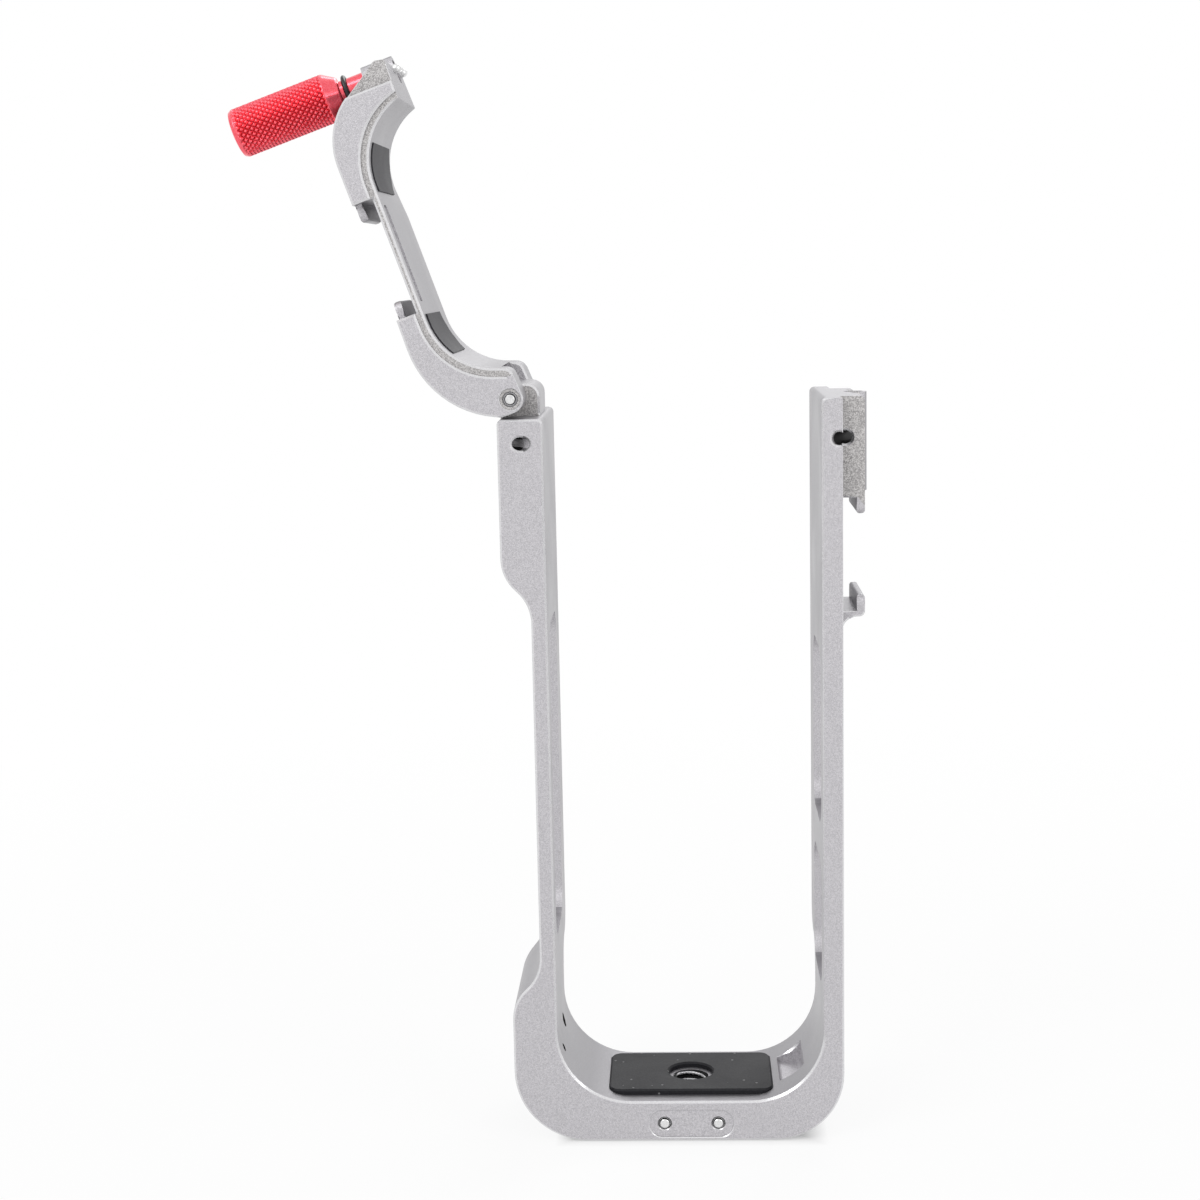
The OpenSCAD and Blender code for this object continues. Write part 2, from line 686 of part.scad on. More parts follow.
// A pad's block on one of the arm's elbows, smaller by the gap, with its two rear corners cut off.
module pad_block(x, inside, from, gap) {
    difference() {
        along_y(slab(x, inside, pad_seat - gap, from + gap, pad_sweep - 2 * gap),
            front_y + pad_setback + gap, pad_length - 2 * gap);
        for (turn = [from, from + pad_sweep]) {
            translate([x * arm_unit, front_y + pad_setback + pad_length, elbow_z_share * arm_unit])
                rotate([0, -turn, 0])
                    translate([elbow_r_share * arm_unit, 0, 0])
                        rotate([quarter_turn / 2, 0, 0])
                            cube([2 * pad_cut, sqrt(2) * (pad_cut + 2 * gap), sqrt(2) * (pad_cut + 2 * gap)],
                                center = true);
        }
    }
}

module arm() {
    color(arm_colour)
    opened()
    difference() {
        union() {
            difference() {
                along_y(rounded(scaled(concat(outer_shares, inner_shares))), front_y, frame_depth);
                translate([arm_shoe_end - arm_shoe_length, front_y - margin, arm_shoe_floor])
                    cube([arm_shoe_length, frame_depth + 2 * margin, arm_length]);
                for (y = [front_y - margin, back_y - band_depth]) {
                    along_y(rounded(scaled(band_shares)), y, margin + band_depth);
                }
                along_y(rounded(scaled(facet_shares)), front_y - margin, margin + facet_depth);
                translate([0, front_y, -arm_length / 2])
                    linear_extrude(arm_length)
                        polygon(rounded(scaled(taper_shares)));
            }
            arm_lip(arm_shoe_end - arm_shoe_length, 1);
            arm_lip(arm_shoe_end, -1);
            rod_z(latch_x, latch_row_y, tip_boss_r, -tip_under, ring_seat + tip_under);
        }
        rod_y(0, 0, lug_room_r, front_y + knuckle_length, frame_depth - 2 * knuckle_length);
        rod_y(0, 0, hinge_pin_r + pin_clearance, front_y - margin, frame_depth + 2 * margin);
        rod_y(0, 0, pin_relief_r, front_y - margin, margin + relief_depth);
        rod_z(latch_x, latch_row_y, max(tip_boss_r, ring_r) + pin_clearance, ring_seat, arm_length);
        rod_z(latch_x, latch_row_y, knob_r + pin_clearance, knob_base - knob_travel - pin_clearance,
            arm_length);
        rod_z(latch_x, latch_row_y, neck_r + pin_clearance, -margin, arm_length);
        for (side = [-1, 1]) {
            rod_z(latch_x, latch_row_y + side * locator_spacing / 2, locator_r + fixed_clearance,
                -margin, locator_grip + margin);
        }
        pad_block(hinge_elbow_share, margin, hinge_pad_from, 0);
        pad_block(latch_elbow_share, margin, latch_pad_from, 0);
        linear_extrude(inner_shares[0][1] * arm_unit + arm_pocket_depth)
            polygon(rectangle(pocket_shares[0] * arm_unit, front_y + pad_setback,
                (pocket_shares[1] - pocket_shares[0]) * arm_unit, arm_pocket_width, edge_r));
    }
}

module arm_pad(x, from) {
    color(rubber_colour)
    opened()
        pad_block(x, pad_proud, from, fixed_clearance);
}

module arm_pad_hinge_side() {
    arm_pad(hinge_elbow_share, hinge_pad_from);
}

module arm_pad_latch_side() {
    arm_pad(latch_elbow_share, latch_pad_from);
}

module locating_pin(side) {
    color(steel_colour)
    opened()
        translate([latch_x, latch_row_y + side * locator_spacing / 2, 0]) {
            rod_z(0, 0, locator_r, locator_r - tip_under - locator_reach,
                locator_reach + tip_under + locator_grip - locator_r);
            translate([0, 0, locator_r - tip_under - locator_reach])
                sphere(r = locator_r);
        }
}

module locating_pin_front() {
    locating_pin(-1);
}

module locating_pin_rear() {
    locating_pin(1);
}

ring_base = ring_seat + knob_travel + pin_clearance;

module knob() {
    color(knob_colour)
    opened()
        translate([latch_x, latch_row_y, 0])
            difference() {
                union() {
                    rod_z(0, 0, knob_r, knob_base + knob_cone, knob_grip);
                    translate([0, 0, knob_base])
                        cylinder(h = knob_cone, r1 = ring_r, r2 = knob_r);
                    rod_z(0, 0, neck_r, neck_end, knob_base - neck_end);
                }
                difference() {
                    rod_z(0, 0, knob_r, ring_base - fixed_clearance, ring_thick + 2 * fixed_clearance);
                    rod_z(0, 0, neck_r - ring_groove, ring_base - margin, ring_thick + 2 * margin);
                }
                rod_z(0, 0, screw_r + fixed_clearance, neck_end - margin, knob_base - neck_end + margin);
            }
}

module knob_stud() {
    color(steel_colour)
    opened()
        rod_z(latch_x, latch_row_y, screw_r, neck_end - knob_travel - fixed_clearance,
            knob_base - neck_end + knob_travel);
}

module neck_ring() {
    color(ring_colour)
    opened()
        difference() {
            rod_z(latch_x, latch_row_y, ring_r, ring_base, ring_thick);
            rod_z(latch_x, latch_row_y, neck_r - ring_groove + pin_clearance, ring_base - margin,
                ring_thick + 2 * margin);
        }
}

module latch_insert() {
    color(steel_colour)
    difference() {
        rod_z(latch_row_x, latch_row_y, insert_r, leg_top - mouth_depth - insert_length, insert_length);
        rod_z(latch_row_x, latch_row_y, insert_bore_r, leg_top - mouth_depth - insert_length - margin,
            insert_length + 2 * margin);
    }
}

cage_frame();
base_pad();
finger_left();
finger_right();
finger_pin_left();
finger_pin_right();
finger_washer_left();
finger_washer_right();
hinge_pin();
hinge_washer_front();
hinge_washer_rear();
arm();
arm_pad_hinge_side();
arm_pad_latch_side();
locating_pin_front();
locating_pin_rear();
knob();
knob_stud();
neck_ring();
latch_insert();
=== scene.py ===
"""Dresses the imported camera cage: blasted aluminium, a knurled red knob, rubber pads and pins."""

import logging
import math
from dataclasses import dataclass, field
from enum import Enum, IntEnum
from typing import Callable, ClassVar, Sequence

import bmesh
import bpy
import numpy as np
from mathutils import Matrix, Vector


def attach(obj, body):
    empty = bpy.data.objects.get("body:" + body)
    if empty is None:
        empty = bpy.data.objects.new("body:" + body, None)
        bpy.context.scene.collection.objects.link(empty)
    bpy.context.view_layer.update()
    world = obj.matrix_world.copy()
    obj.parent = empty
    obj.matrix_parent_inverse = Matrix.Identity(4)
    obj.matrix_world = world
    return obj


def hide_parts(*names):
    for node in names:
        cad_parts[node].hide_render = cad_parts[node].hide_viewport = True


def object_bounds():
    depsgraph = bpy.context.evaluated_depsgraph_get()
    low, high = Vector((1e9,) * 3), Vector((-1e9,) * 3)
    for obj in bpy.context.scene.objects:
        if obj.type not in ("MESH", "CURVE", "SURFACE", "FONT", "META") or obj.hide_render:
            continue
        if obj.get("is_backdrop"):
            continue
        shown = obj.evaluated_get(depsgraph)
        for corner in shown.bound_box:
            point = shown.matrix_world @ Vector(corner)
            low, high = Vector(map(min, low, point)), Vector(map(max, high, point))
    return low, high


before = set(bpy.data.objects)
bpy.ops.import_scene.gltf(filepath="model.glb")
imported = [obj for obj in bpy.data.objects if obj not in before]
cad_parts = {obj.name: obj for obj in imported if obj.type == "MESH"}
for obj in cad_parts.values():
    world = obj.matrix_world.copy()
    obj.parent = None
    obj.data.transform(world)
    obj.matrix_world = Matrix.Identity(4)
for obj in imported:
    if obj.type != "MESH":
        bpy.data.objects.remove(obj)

LOG = logging.getLogger("camera_cage")
MM = 0.001
FULL_TURN = 2.0 * math.pi
Array = np.ndarray
Triple = tuple[float, float, float]
Pair = tuple[float, float]
Mesh = tuple[Array, Array, Array]
FaceTest = Callable[[Array, Array], Array]
Socket = bpy.types.NodeSocket


class Slot(Enum):
    """The record's material slots, handed to new pieces but not read."""

    CAGE = "cage_metal"
    ARM = "arm_metal"
    FINGER = "finger_metal"
    KNOB = "knob_metal"
    STEEL = "steel"
    PAD = "pad_rubber"
    RING = "ring_rubber"


class Body(Enum):
    """The rigid bodies that pieces ride on."""

    FRAME = "frame"
    ARM = "arm"
    RING = "latch_ring"
    KNOB = "knob"
    FINGER_LEFT = "finger_left"
    FINGER_RIGHT = "finger_right"


# ---- Shader node groups ----


@dataclass(frozen=True)
class Wire:
    """A small helper that adds and joins nodes in one node tree."""

    tree: bpy.types.NodeTree

    def feed(self, target: Socket, value: object) -> None:
        """Joins a socket to an input, or gives the input a value.

        Args:
            target: the input.
            value: an output's socket, or a value.
        """
        if isinstance(value, Socket):
            self.tree.links.new(value, target)
        else:
            target.default_value = value

    def add(self, kind: str, inputs: dict[str, object] | None = None,
            **settings: object) -> bpy.types.Node:
        """Adds a node, sets its attributes and then feeds its inputs.

        Args:
            kind: the node's type name.
            inputs: for each input's name, a socket or a value.
            settings: attributes to set on the node.

        Returns:
            The new node.
        """
        node = self.tree.nodes.new(kind)
        for name, value in settings.items():
            setattr(node, name, value)
        for name, value in (inputs or {}).items():
            self.feed(node.inputs[name], value)
        return node

    def math(self, kind: str, first: object, second: object = 0.0) -> Socket:
        """Adds a Math node on two sockets or numbers.

        Args:
            kind: the Math operation.
            first: a socket or a number.
            second: a socket or a number.

        Returns:
            The result's socket.
        """
        node = self.add("ShaderNodeMath", operation=kind)
        self.feed(node.inputs[0], first)
        self.feed(node.inputs[1], second)
        return node.outputs[0]

    def seen(self) -> Socket:
        """Marks what the camera sees, straight, in a reflection or through glass.

        Returns:
            A socket that is 1 there, and 0 elsewhere.
        """
        rays = self.add("ShaderNodeLightPath").outputs
        bent = self.math("MAXIMUM", rays["Is Glossy Ray"], rays["Is Transmission Ray"])
        return self.math("MAXIMUM", rays["Is Camera Ray"], bent)

    def ramp(self, value: Socket, low: float, high: float) -> Socket:
        """Stretches a value's span from low to high over 0 to 1."""
        span = {"Value": value, "From Min": low, "From Max": high}
        return self.add("ShaderNodeMapRange", span).outputs["Result"]


@dataclass(frozen=True)
class PatternGroup:
    """A shared node group with a Scale input, laid out in Object coordinates."""

    name: str

    def start(self, *outputs: str) -> tuple[Wire, Socket, Socket, bpy.types.NodeInputs]:
        """Starts the group.

        Args:
            outputs: the names of its outputs.

        Returns:
            A helper for its tree, its scale, its Object coordinates, and the sockets to feed.
        """
        tree = bpy.data.node_groups.new(self.name, "ShaderNodeTree")
        tree.interface.new_socket("Scale", in_out="INPUT", socket_type="NodeSocketFloat")
        for output in outputs:
            tree.interface.new_socket(output, in_out="OUTPUT", socket_type="NodeSocketFloat")
        wire = Wire(tree)
        scale = wire.add("NodeGroupInput").outputs["Scale"]
        place = wire.add("ShaderNodeTexCoord").outputs["Object"]
        return wire, scale, place, wire.add("NodeGroupOutput").inputs


@dataclass(frozen=True)
class GrainGroup(PatternGroup):
    """Fine blasted grain: two noises of different size, as a mask, and with pits as a height."""

    name: str = "blasted_grain"
    fine_detail: float = 3.0
    fine_roughness: float = 0.7
    fine_weight: float = 0.8
    coarse_detail: float = 1.0
    coarse_share: float = 0.42
    coarse_weight: float = 0.2
    pit_share: float = 0.8
    pit_weight: float = 0.45
    mask_span: Pair = (0.44, 0.56)

    def build(self) -> bpy.types.NodeTree:
        """Makes the group.

        Returns:
            Its tree, with a Mask and a Height output.
        """
        wire, scale, place, sink = self.start("Mask", "Height")
        fine = wire.add("ShaderNodeTexNoise", {
            "Vector": place, "Scale": scale,
            "Detail": self.fine_detail, "Roughness": self.fine_roughness})
        coarse = wire.add("ShaderNodeTexNoise", {
            "Vector": place, "Scale": wire.math("MULTIPLY", scale, self.coarse_share),
            "Detail": self.coarse_detail})
        pits = wire.add("ShaderNodeTexVoronoi", {
            "Vector": place, "Scale": wire.math("MULTIPLY", scale, self.pit_share)})
        both = wire.math("ADD", wire.math("MULTIPLY", fine.outputs[0], self.fine_weight),
                         wire.math("MULTIPLY", coarse.outputs[0], self.coarse_weight))
        depth = wire.math("MULTIPLY", pits.outputs["Distance"], self.pit_weight)
        wire.feed(sink["Mask"], wire.ramp(both, *self.mask_span))
        wire.feed(sink["Height"], wire.math("ADD", both, depth))
        return wire.tree


@dataclass(frozen=True)
class MarksGroup(PatternGroup):
    """Slow variation from handling and anodising, as a mask from 0 to 1."""

    name: str = "handling_marks"
    detail: float = 5.0
    distortion: float = 0.6
    mask_span: Pair = (0.3, 0.7)

    def build(self) -> bpy.types.NodeTree:
        """Makes the group.

        Returns:
            Its tree, with a Mask output.
        """
        wire, scale, place, sink = self.start("Mask")
        noise = wire.add("ShaderNodeTexNoise", {
            "Vector": place, "Scale": scale,
            "Detail": self.detail, "Distortion": self.distortion})
        wire.feed(sink["Mask"], wire.ramp(noise.outputs[0], *self.mask_span))
        return wire.tree


@dataclass(frozen=True)
class DustGroup(PatternGroup):
    """Sparse specks of dust: small discs in some cells of a Voronoi pattern."""

    name: str = "dust_specks"
    radius: float = 0.13
    bare_share: float = 0.55

    def build(self) -> bpy.types.NodeTree:
        """Makes the group.

        Returns:
            Its tree, with a Mask output.
        """
        wire, scale, place, sink = self.start("Mask")
        cells = wire.add("ShaderNodeTexVoronoi", {"Vector": place, "Scale": scale}).outputs
        spot = wire.math("LESS_THAN", cells["Distance"], self.radius)
        chance = wire.add("ShaderNodeSeparateColor", {"Color": cells["Color"]}).outputs["Red"]
        some = wire.math("GREATER_THAN", chance, self.bare_share)
        wire.feed(sink["Mask"], wire.math("MULTIPLY", spot, some))
        return wire.tree


@dataclass
class Groups:
    """The shared node groups, built once."""

    grain: bpy.types.NodeTree = field(default_factory=lambda: GrainGroup().build())
    marks: bpy.types.NodeTree = field(default_factory=lambda: MarksGroup().build())
    dust: bpy.types.NodeTree = field(default_factory=lambda: DustGroup().build())


# ---- Finishes ----


@dataclass(frozen=True)
class Finish:
    """A finish with grain in its colour and its height, and slow marks in its roughness.

    The colour runs from dark to light with the grain, and the grain's height feeds a Bump node.
    """

    name: str
    dark: Triple
    light: Triple
    metallic: float
    rough_low: float
    rough_high: float
    grain_scale: float
    bump: float
    depth: float = 0.00004
    marks_scale: float = 60.0
    coat: float = 0.0
    specular: float = 0.5
    specks: float = 0.0

    COAT_ROUGHNESS: ClassVar[float] = 0.25
    DUST: ClassVar[tuple[float, ...]] = (0.4, 0.4, 0.4, 1.0)
    DUST_TO_MARKS: ClassVar[float] = 10.0

    def build(self, groups: Groups) -> bpy.types.Material:
        """Makes the material.

        Args:
            groups: the shared node groups.

        Returns:
            The new material.
        """
        material = bpy.data.materials.new(self.name)
        material.use_nodes = True
        wire = Wire(material.node_tree)
        grain = wire.add("ShaderNodeGroup", {"Scale": self.grain_scale},
                         node_tree=groups.grain).outputs
        marks = wire.add("ShaderNodeGroup", {"Scale": self.marks_scale},
                         node_tree=groups.marks).outputs
        colour = wire.add("ShaderNodeMix", {
            "A": (*self.dark, 1.0), "B": (*self.light, 1.0),
            "Factor": grain["Mask"]}, data_type="RGBA").outputs["Result"]
        if self.specks:
            dust = wire.add("ShaderNodeGroup", {"Scale": self.marks_scale * self.DUST_TO_MARKS},
                            node_tree=groups.dust).outputs
            share = wire.math("MULTIPLY", dust["Mask"], self.specks)
            colour = wire.add("ShaderNodeMix", {"A": colour, "B": self.DUST, "Factor": share},
                              data_type="RGBA").outputs["Result"]
        rough = wire.add("ShaderNodeMapRange", {
            "Value": marks["Mask"], "To Min": self.rough_low, "To Max": self.rough_high})
        bump = wire.add("ShaderNodeBump", {
            "Strength": self.bump, "Distance": self.depth, "Height": grain["Height"]})
        values = {"Base Color": colour, "Roughness": rough.outputs["Result"],
                  "Normal": bump.outputs["Normal"], "Metallic": self.metallic,
                  "Specular IOR Level": self.specular}
        if self.coat:
            values |= {"Coat Weight": self.coat, "Coat Roughness": self.COAT_ROUGHNESS}
        shader = material.node_tree.nodes["Principled BSDF"]
        for name, value in values.items():
            wire.feed(shader.inputs[name], value)
        return material


class Look(Enum):
    """The cage's finishes: a name, two colours, metallic, two roughnesses, grain and bump."""

    BLASTED = Finish("blasted_aluminium", (0.42, 0.41, 0.43), (0.62, 0.605, 0.63),
                     0.5, 0.36, 0.46, 7000.0, 0.9, depth=0.00006)
    # Set-back faces: a coarser, rougher grain, and a darker colour that is painted shade from the
    # steps in front of them.
    COARSE_SHADED = Finish("coarse_blasted_aluminium_painted_shade", (0.29, 0.28, 0.28), (0.59, 0.575, 0.57),
                    0.5, 0.44, 0.56, 5600.0, 1.0, depth=0.00008)
    # Chamfers and thread crests: a lighter, glossier colour that is a painted highlight along the
    # edges.
    EDGE_HIGHLIGHT = Finish("edge_painted_highlight", (0.66, 0.655, 0.67), (0.74, 0.735, 0.75),
                  0.8, 0.2, 0.3, 5000.0, 0.15)
    # Walls: a smoother, glossier finish, with a colour darker than the fronts that is painted shade
    # for faces turned from the light.
    SMOOTH_SHADED = Finish("smooth_aluminium_painted_shade", (0.31, 0.304, 0.32), (0.36, 0.352, 0.37),
                    0.75, 0.3, 0.4, 6200.0, 0.2)
    RED = Finish("red_anodised", (0.88, 0.08, 0.11), (0.98, 0.15, 0.19),
                 0.8, 0.16, 0.26, 4600.0, 0.25, coat=0.35)
    # Knurl bottoms: a darker red that is painted shade in the grooves.
    RED_PIT_SHADE = Finish("red_pit_painted_shade", (0.5, 0.026, 0.042), (0.62, 0.034, 0.056),
                     0.6, 0.4, 0.5, 4600.0, 0.25)
    STEEL = Finish("turned_steel", (0.68, 0.68, 0.68), (0.80, 0.80, 0.80),
                   0.8, 0.24, 0.36, 2600.0, 0.25)
    BASE_PAD = Finish("pad_rubber", (0.006, 0.006, 0.008), (0.012, 0.012, 0.015),
                      0.0, 0.5, 0.62, 3600.0, 0.5, specular=0.28, specks=0.4)
    ARM_PAD = Finish("arm_rubber", (0.024, 0.0235, 0.028), (0.036, 0.035, 0.041),
                     0.0, 0.5, 0.6, 3600.0, 0.4, specular=0.3)
    # Near black: painted shade inside bores, in the tripod thread and in the gaps round the pin
    # ends.
    DEEP_SHADE = Finish("deep_painted_shade", (0.004, 0.004, 0.004), (0.01, 0.01, 0.011),
                  0.0, 0.5, 0.6, 3000.0, 0.5, specular=0.15)
    RING = Finish("ring_rubber", (0.012, 0.012, 0.013), (0.022, 0.022, 0.024),
                  0.0, 0.35, 0.5, 3200.0, 0.4)


@dataclass
class Finishes:
    """Every finish's material, built once on the shared node groups."""

    groups: Groups = field(default_factory=Groups)

    def __post_init__(self) -> None:
        """Builds the materials."""
        self.made: dict[Look, bpy.types.Material] = {
            look: look.value.build(self.groups) for look in Look}

    def dress(self, thing: bpy.types.Object, *looks: Look, index: Array | None = None) -> None:
        """Gives a piece its finishes.

        Args:
            thing: the piece.
            looks: the finishes, in order.
            index: which of them each face takes, if not all the first.
        """
        for look in looks:
            thing.data.materials.append(self.made[look])
        if index is not None:
            thing.data.polygons.foreach_set("material_index", index.astype(np.int32))


# ---- Mesh helpers ----


def link(name: str, data: bpy.types.ID) -> bpy.types.Object:
    """Puts a mesh, or the data of a lamp or a camera, into the scene as a new object.

    Args:
        name: the object's name.
        data: the mesh, or the lamp's or the camera's data.

    Returns:
        The new object.
    """
    thing = bpy.data.objects.new(name, data)
    bpy.context.scene.collection.objects.link(thing)
    return thing


def merge(work: bmesh.types.BMesh, same: float, shortest: float) -> None:
    """Merges points that are nearer than same, and takes out edges that are under the shortest."""
    bmesh.ops.remove_doubles(work, verts=work.verts, dist=same)
    bmesh.ops.dissolve_degenerate(work, edges=work.edges, dist=shortest)


def mesh_object(name: str, points: Array, faces: Array) -> bpy.types.Object:
    """Makes an object from points in metres and quads, merged at poles and seams.

    Args:
        name: the object's name.
        points: an n by 3 array.
        faces: an m by 4 array of indices.

    Returns:
        The new object, at the origin, with outward normals.
    """
    mesh = bpy.data.meshes.new(name)
    mesh.from_pydata(points.tolist(), [], faces.tolist())
    work = bmesh.new()
    work.from_mesh(mesh)
    merge(work, same=1e-7, shortest=1e-8)
    bmesh.ops.recalc_face_normals(work, faces=work.faces)
    work.to_mesh(mesh)
    work.free()
    return link(name, mesh)


def grid_faces(rows: int, columns: int, close_rows: bool) -> Array:
    """Quads of a grid of rows by columns points, whose index is row times columns plus column.

    Args:
        rows: how many rows of points.
        columns: how many columns of points, the last of which joins the first.
        close_rows: joins the last row to the first.

    Returns:
        An array of quads.
    """
    row = np.arange(rows if close_rows else rows - 1)[:, None]
    column = np.arange(columns)[None, :]
    below, beside = (row + 1) % rows, (column + 1) % columns
    quads = [row * columns + column, row * columns + beside,
             below * columns + beside, below * columns + column]
    return np.stack([quad.ravel() for quad in np.broadcast_arrays(*quads)], axis=1)


def smooth(thing: bpy.types.Object, angle: float = 32.0) -> None:
    """Shades a piece smooth, but keeps edges sharp whose angle in degrees is more than this."""
    thing.data.polygons.foreach_set("use_smooth", np.ones(len(thing.data.polygons), dtype=bool))
    thing.data.set_sharp_from_angle(angle=math.radians(angle))


def spread(corners: Sequence[Pair], steps: int) -> Array:
    """Points along a path of corners, evenly placed by distance, with the corners kept.

    Args:
        corners: the path's corners, as radius and height.
        steps: how many even stations, beside the corners.

    Returns:
        An n by 2 array.
    """
    path = np.array(corners, float)
    along = np.concatenate([[0.0], np.cumsum(np.hypot(*np.diff(path, axis=0).T))])
    stations = np.unique(np.concatenate([along, np.linspace(0.0, along[-1], steps)]))
    return np.stack([np.interp(stations, along, path[:, k]) for k in (0, 1)], axis=1)


def wave(value: Array) -> Array:
    """A triangle wave of a value: 1 at every whole number and 0 half-way between."""
    return np.abs((value % 1.0) * 2.0 - 1.0)


def helix(turn: Array, height: Array, pitch: float) -> Array:
    """A thread's triangle wave of the height over the pitch minus the turn."""
    return wave(height / pitch - turn / FULL_TURN)


def revolve(name: str, profile: Array, seat: Callable[[Array], Array], segments: int,
            relief: Callable[[Array, Array, Array], Array] | None = None,
            loop: bool = False) -> bpy.types.Object:
    """Turns a profile of radius and height about the Z axis.

    A point is (r cos t, r sin t, z), with r from the profile plus the relief at that turn and
    height.

    Args:
        name: the piece's name.
        profile: an n by 2 array of radius and height in millimetres.
        seat: carries n by 3 points in millimetres to their place.
        segments: how many points round.
        relief: gives a change of radius from turn, height and radius.
        loop: joins the profile's end to its start.

    Returns:
        The new piece.
    """
    turn = np.linspace(0.0, FULL_TURN, segments, endpoint=False)[None, :]
    radius, height, turn = np.broadcast_arrays(profile[:, :1], profile[:, 1:], turn)
    if relief is not None:
        radius = radius + relief(turn, height, radius)
    points = np.stack([radius * np.cos(turn), radius * np.sin(turn), height], axis=2)
    faces = grid_faces(len(profile), segments, loop)
    thing = mesh_object(name, seat(points.reshape(-1, 3)) * MM, faces)
    smooth(thing)
    return thing


def corners_of(points: Array, triangles: Array) -> tuple[Array, Array, Array]:
    """The three corners' points of each triangle."""
    return tuple(points[triangles[:, k]] for k in range(3))


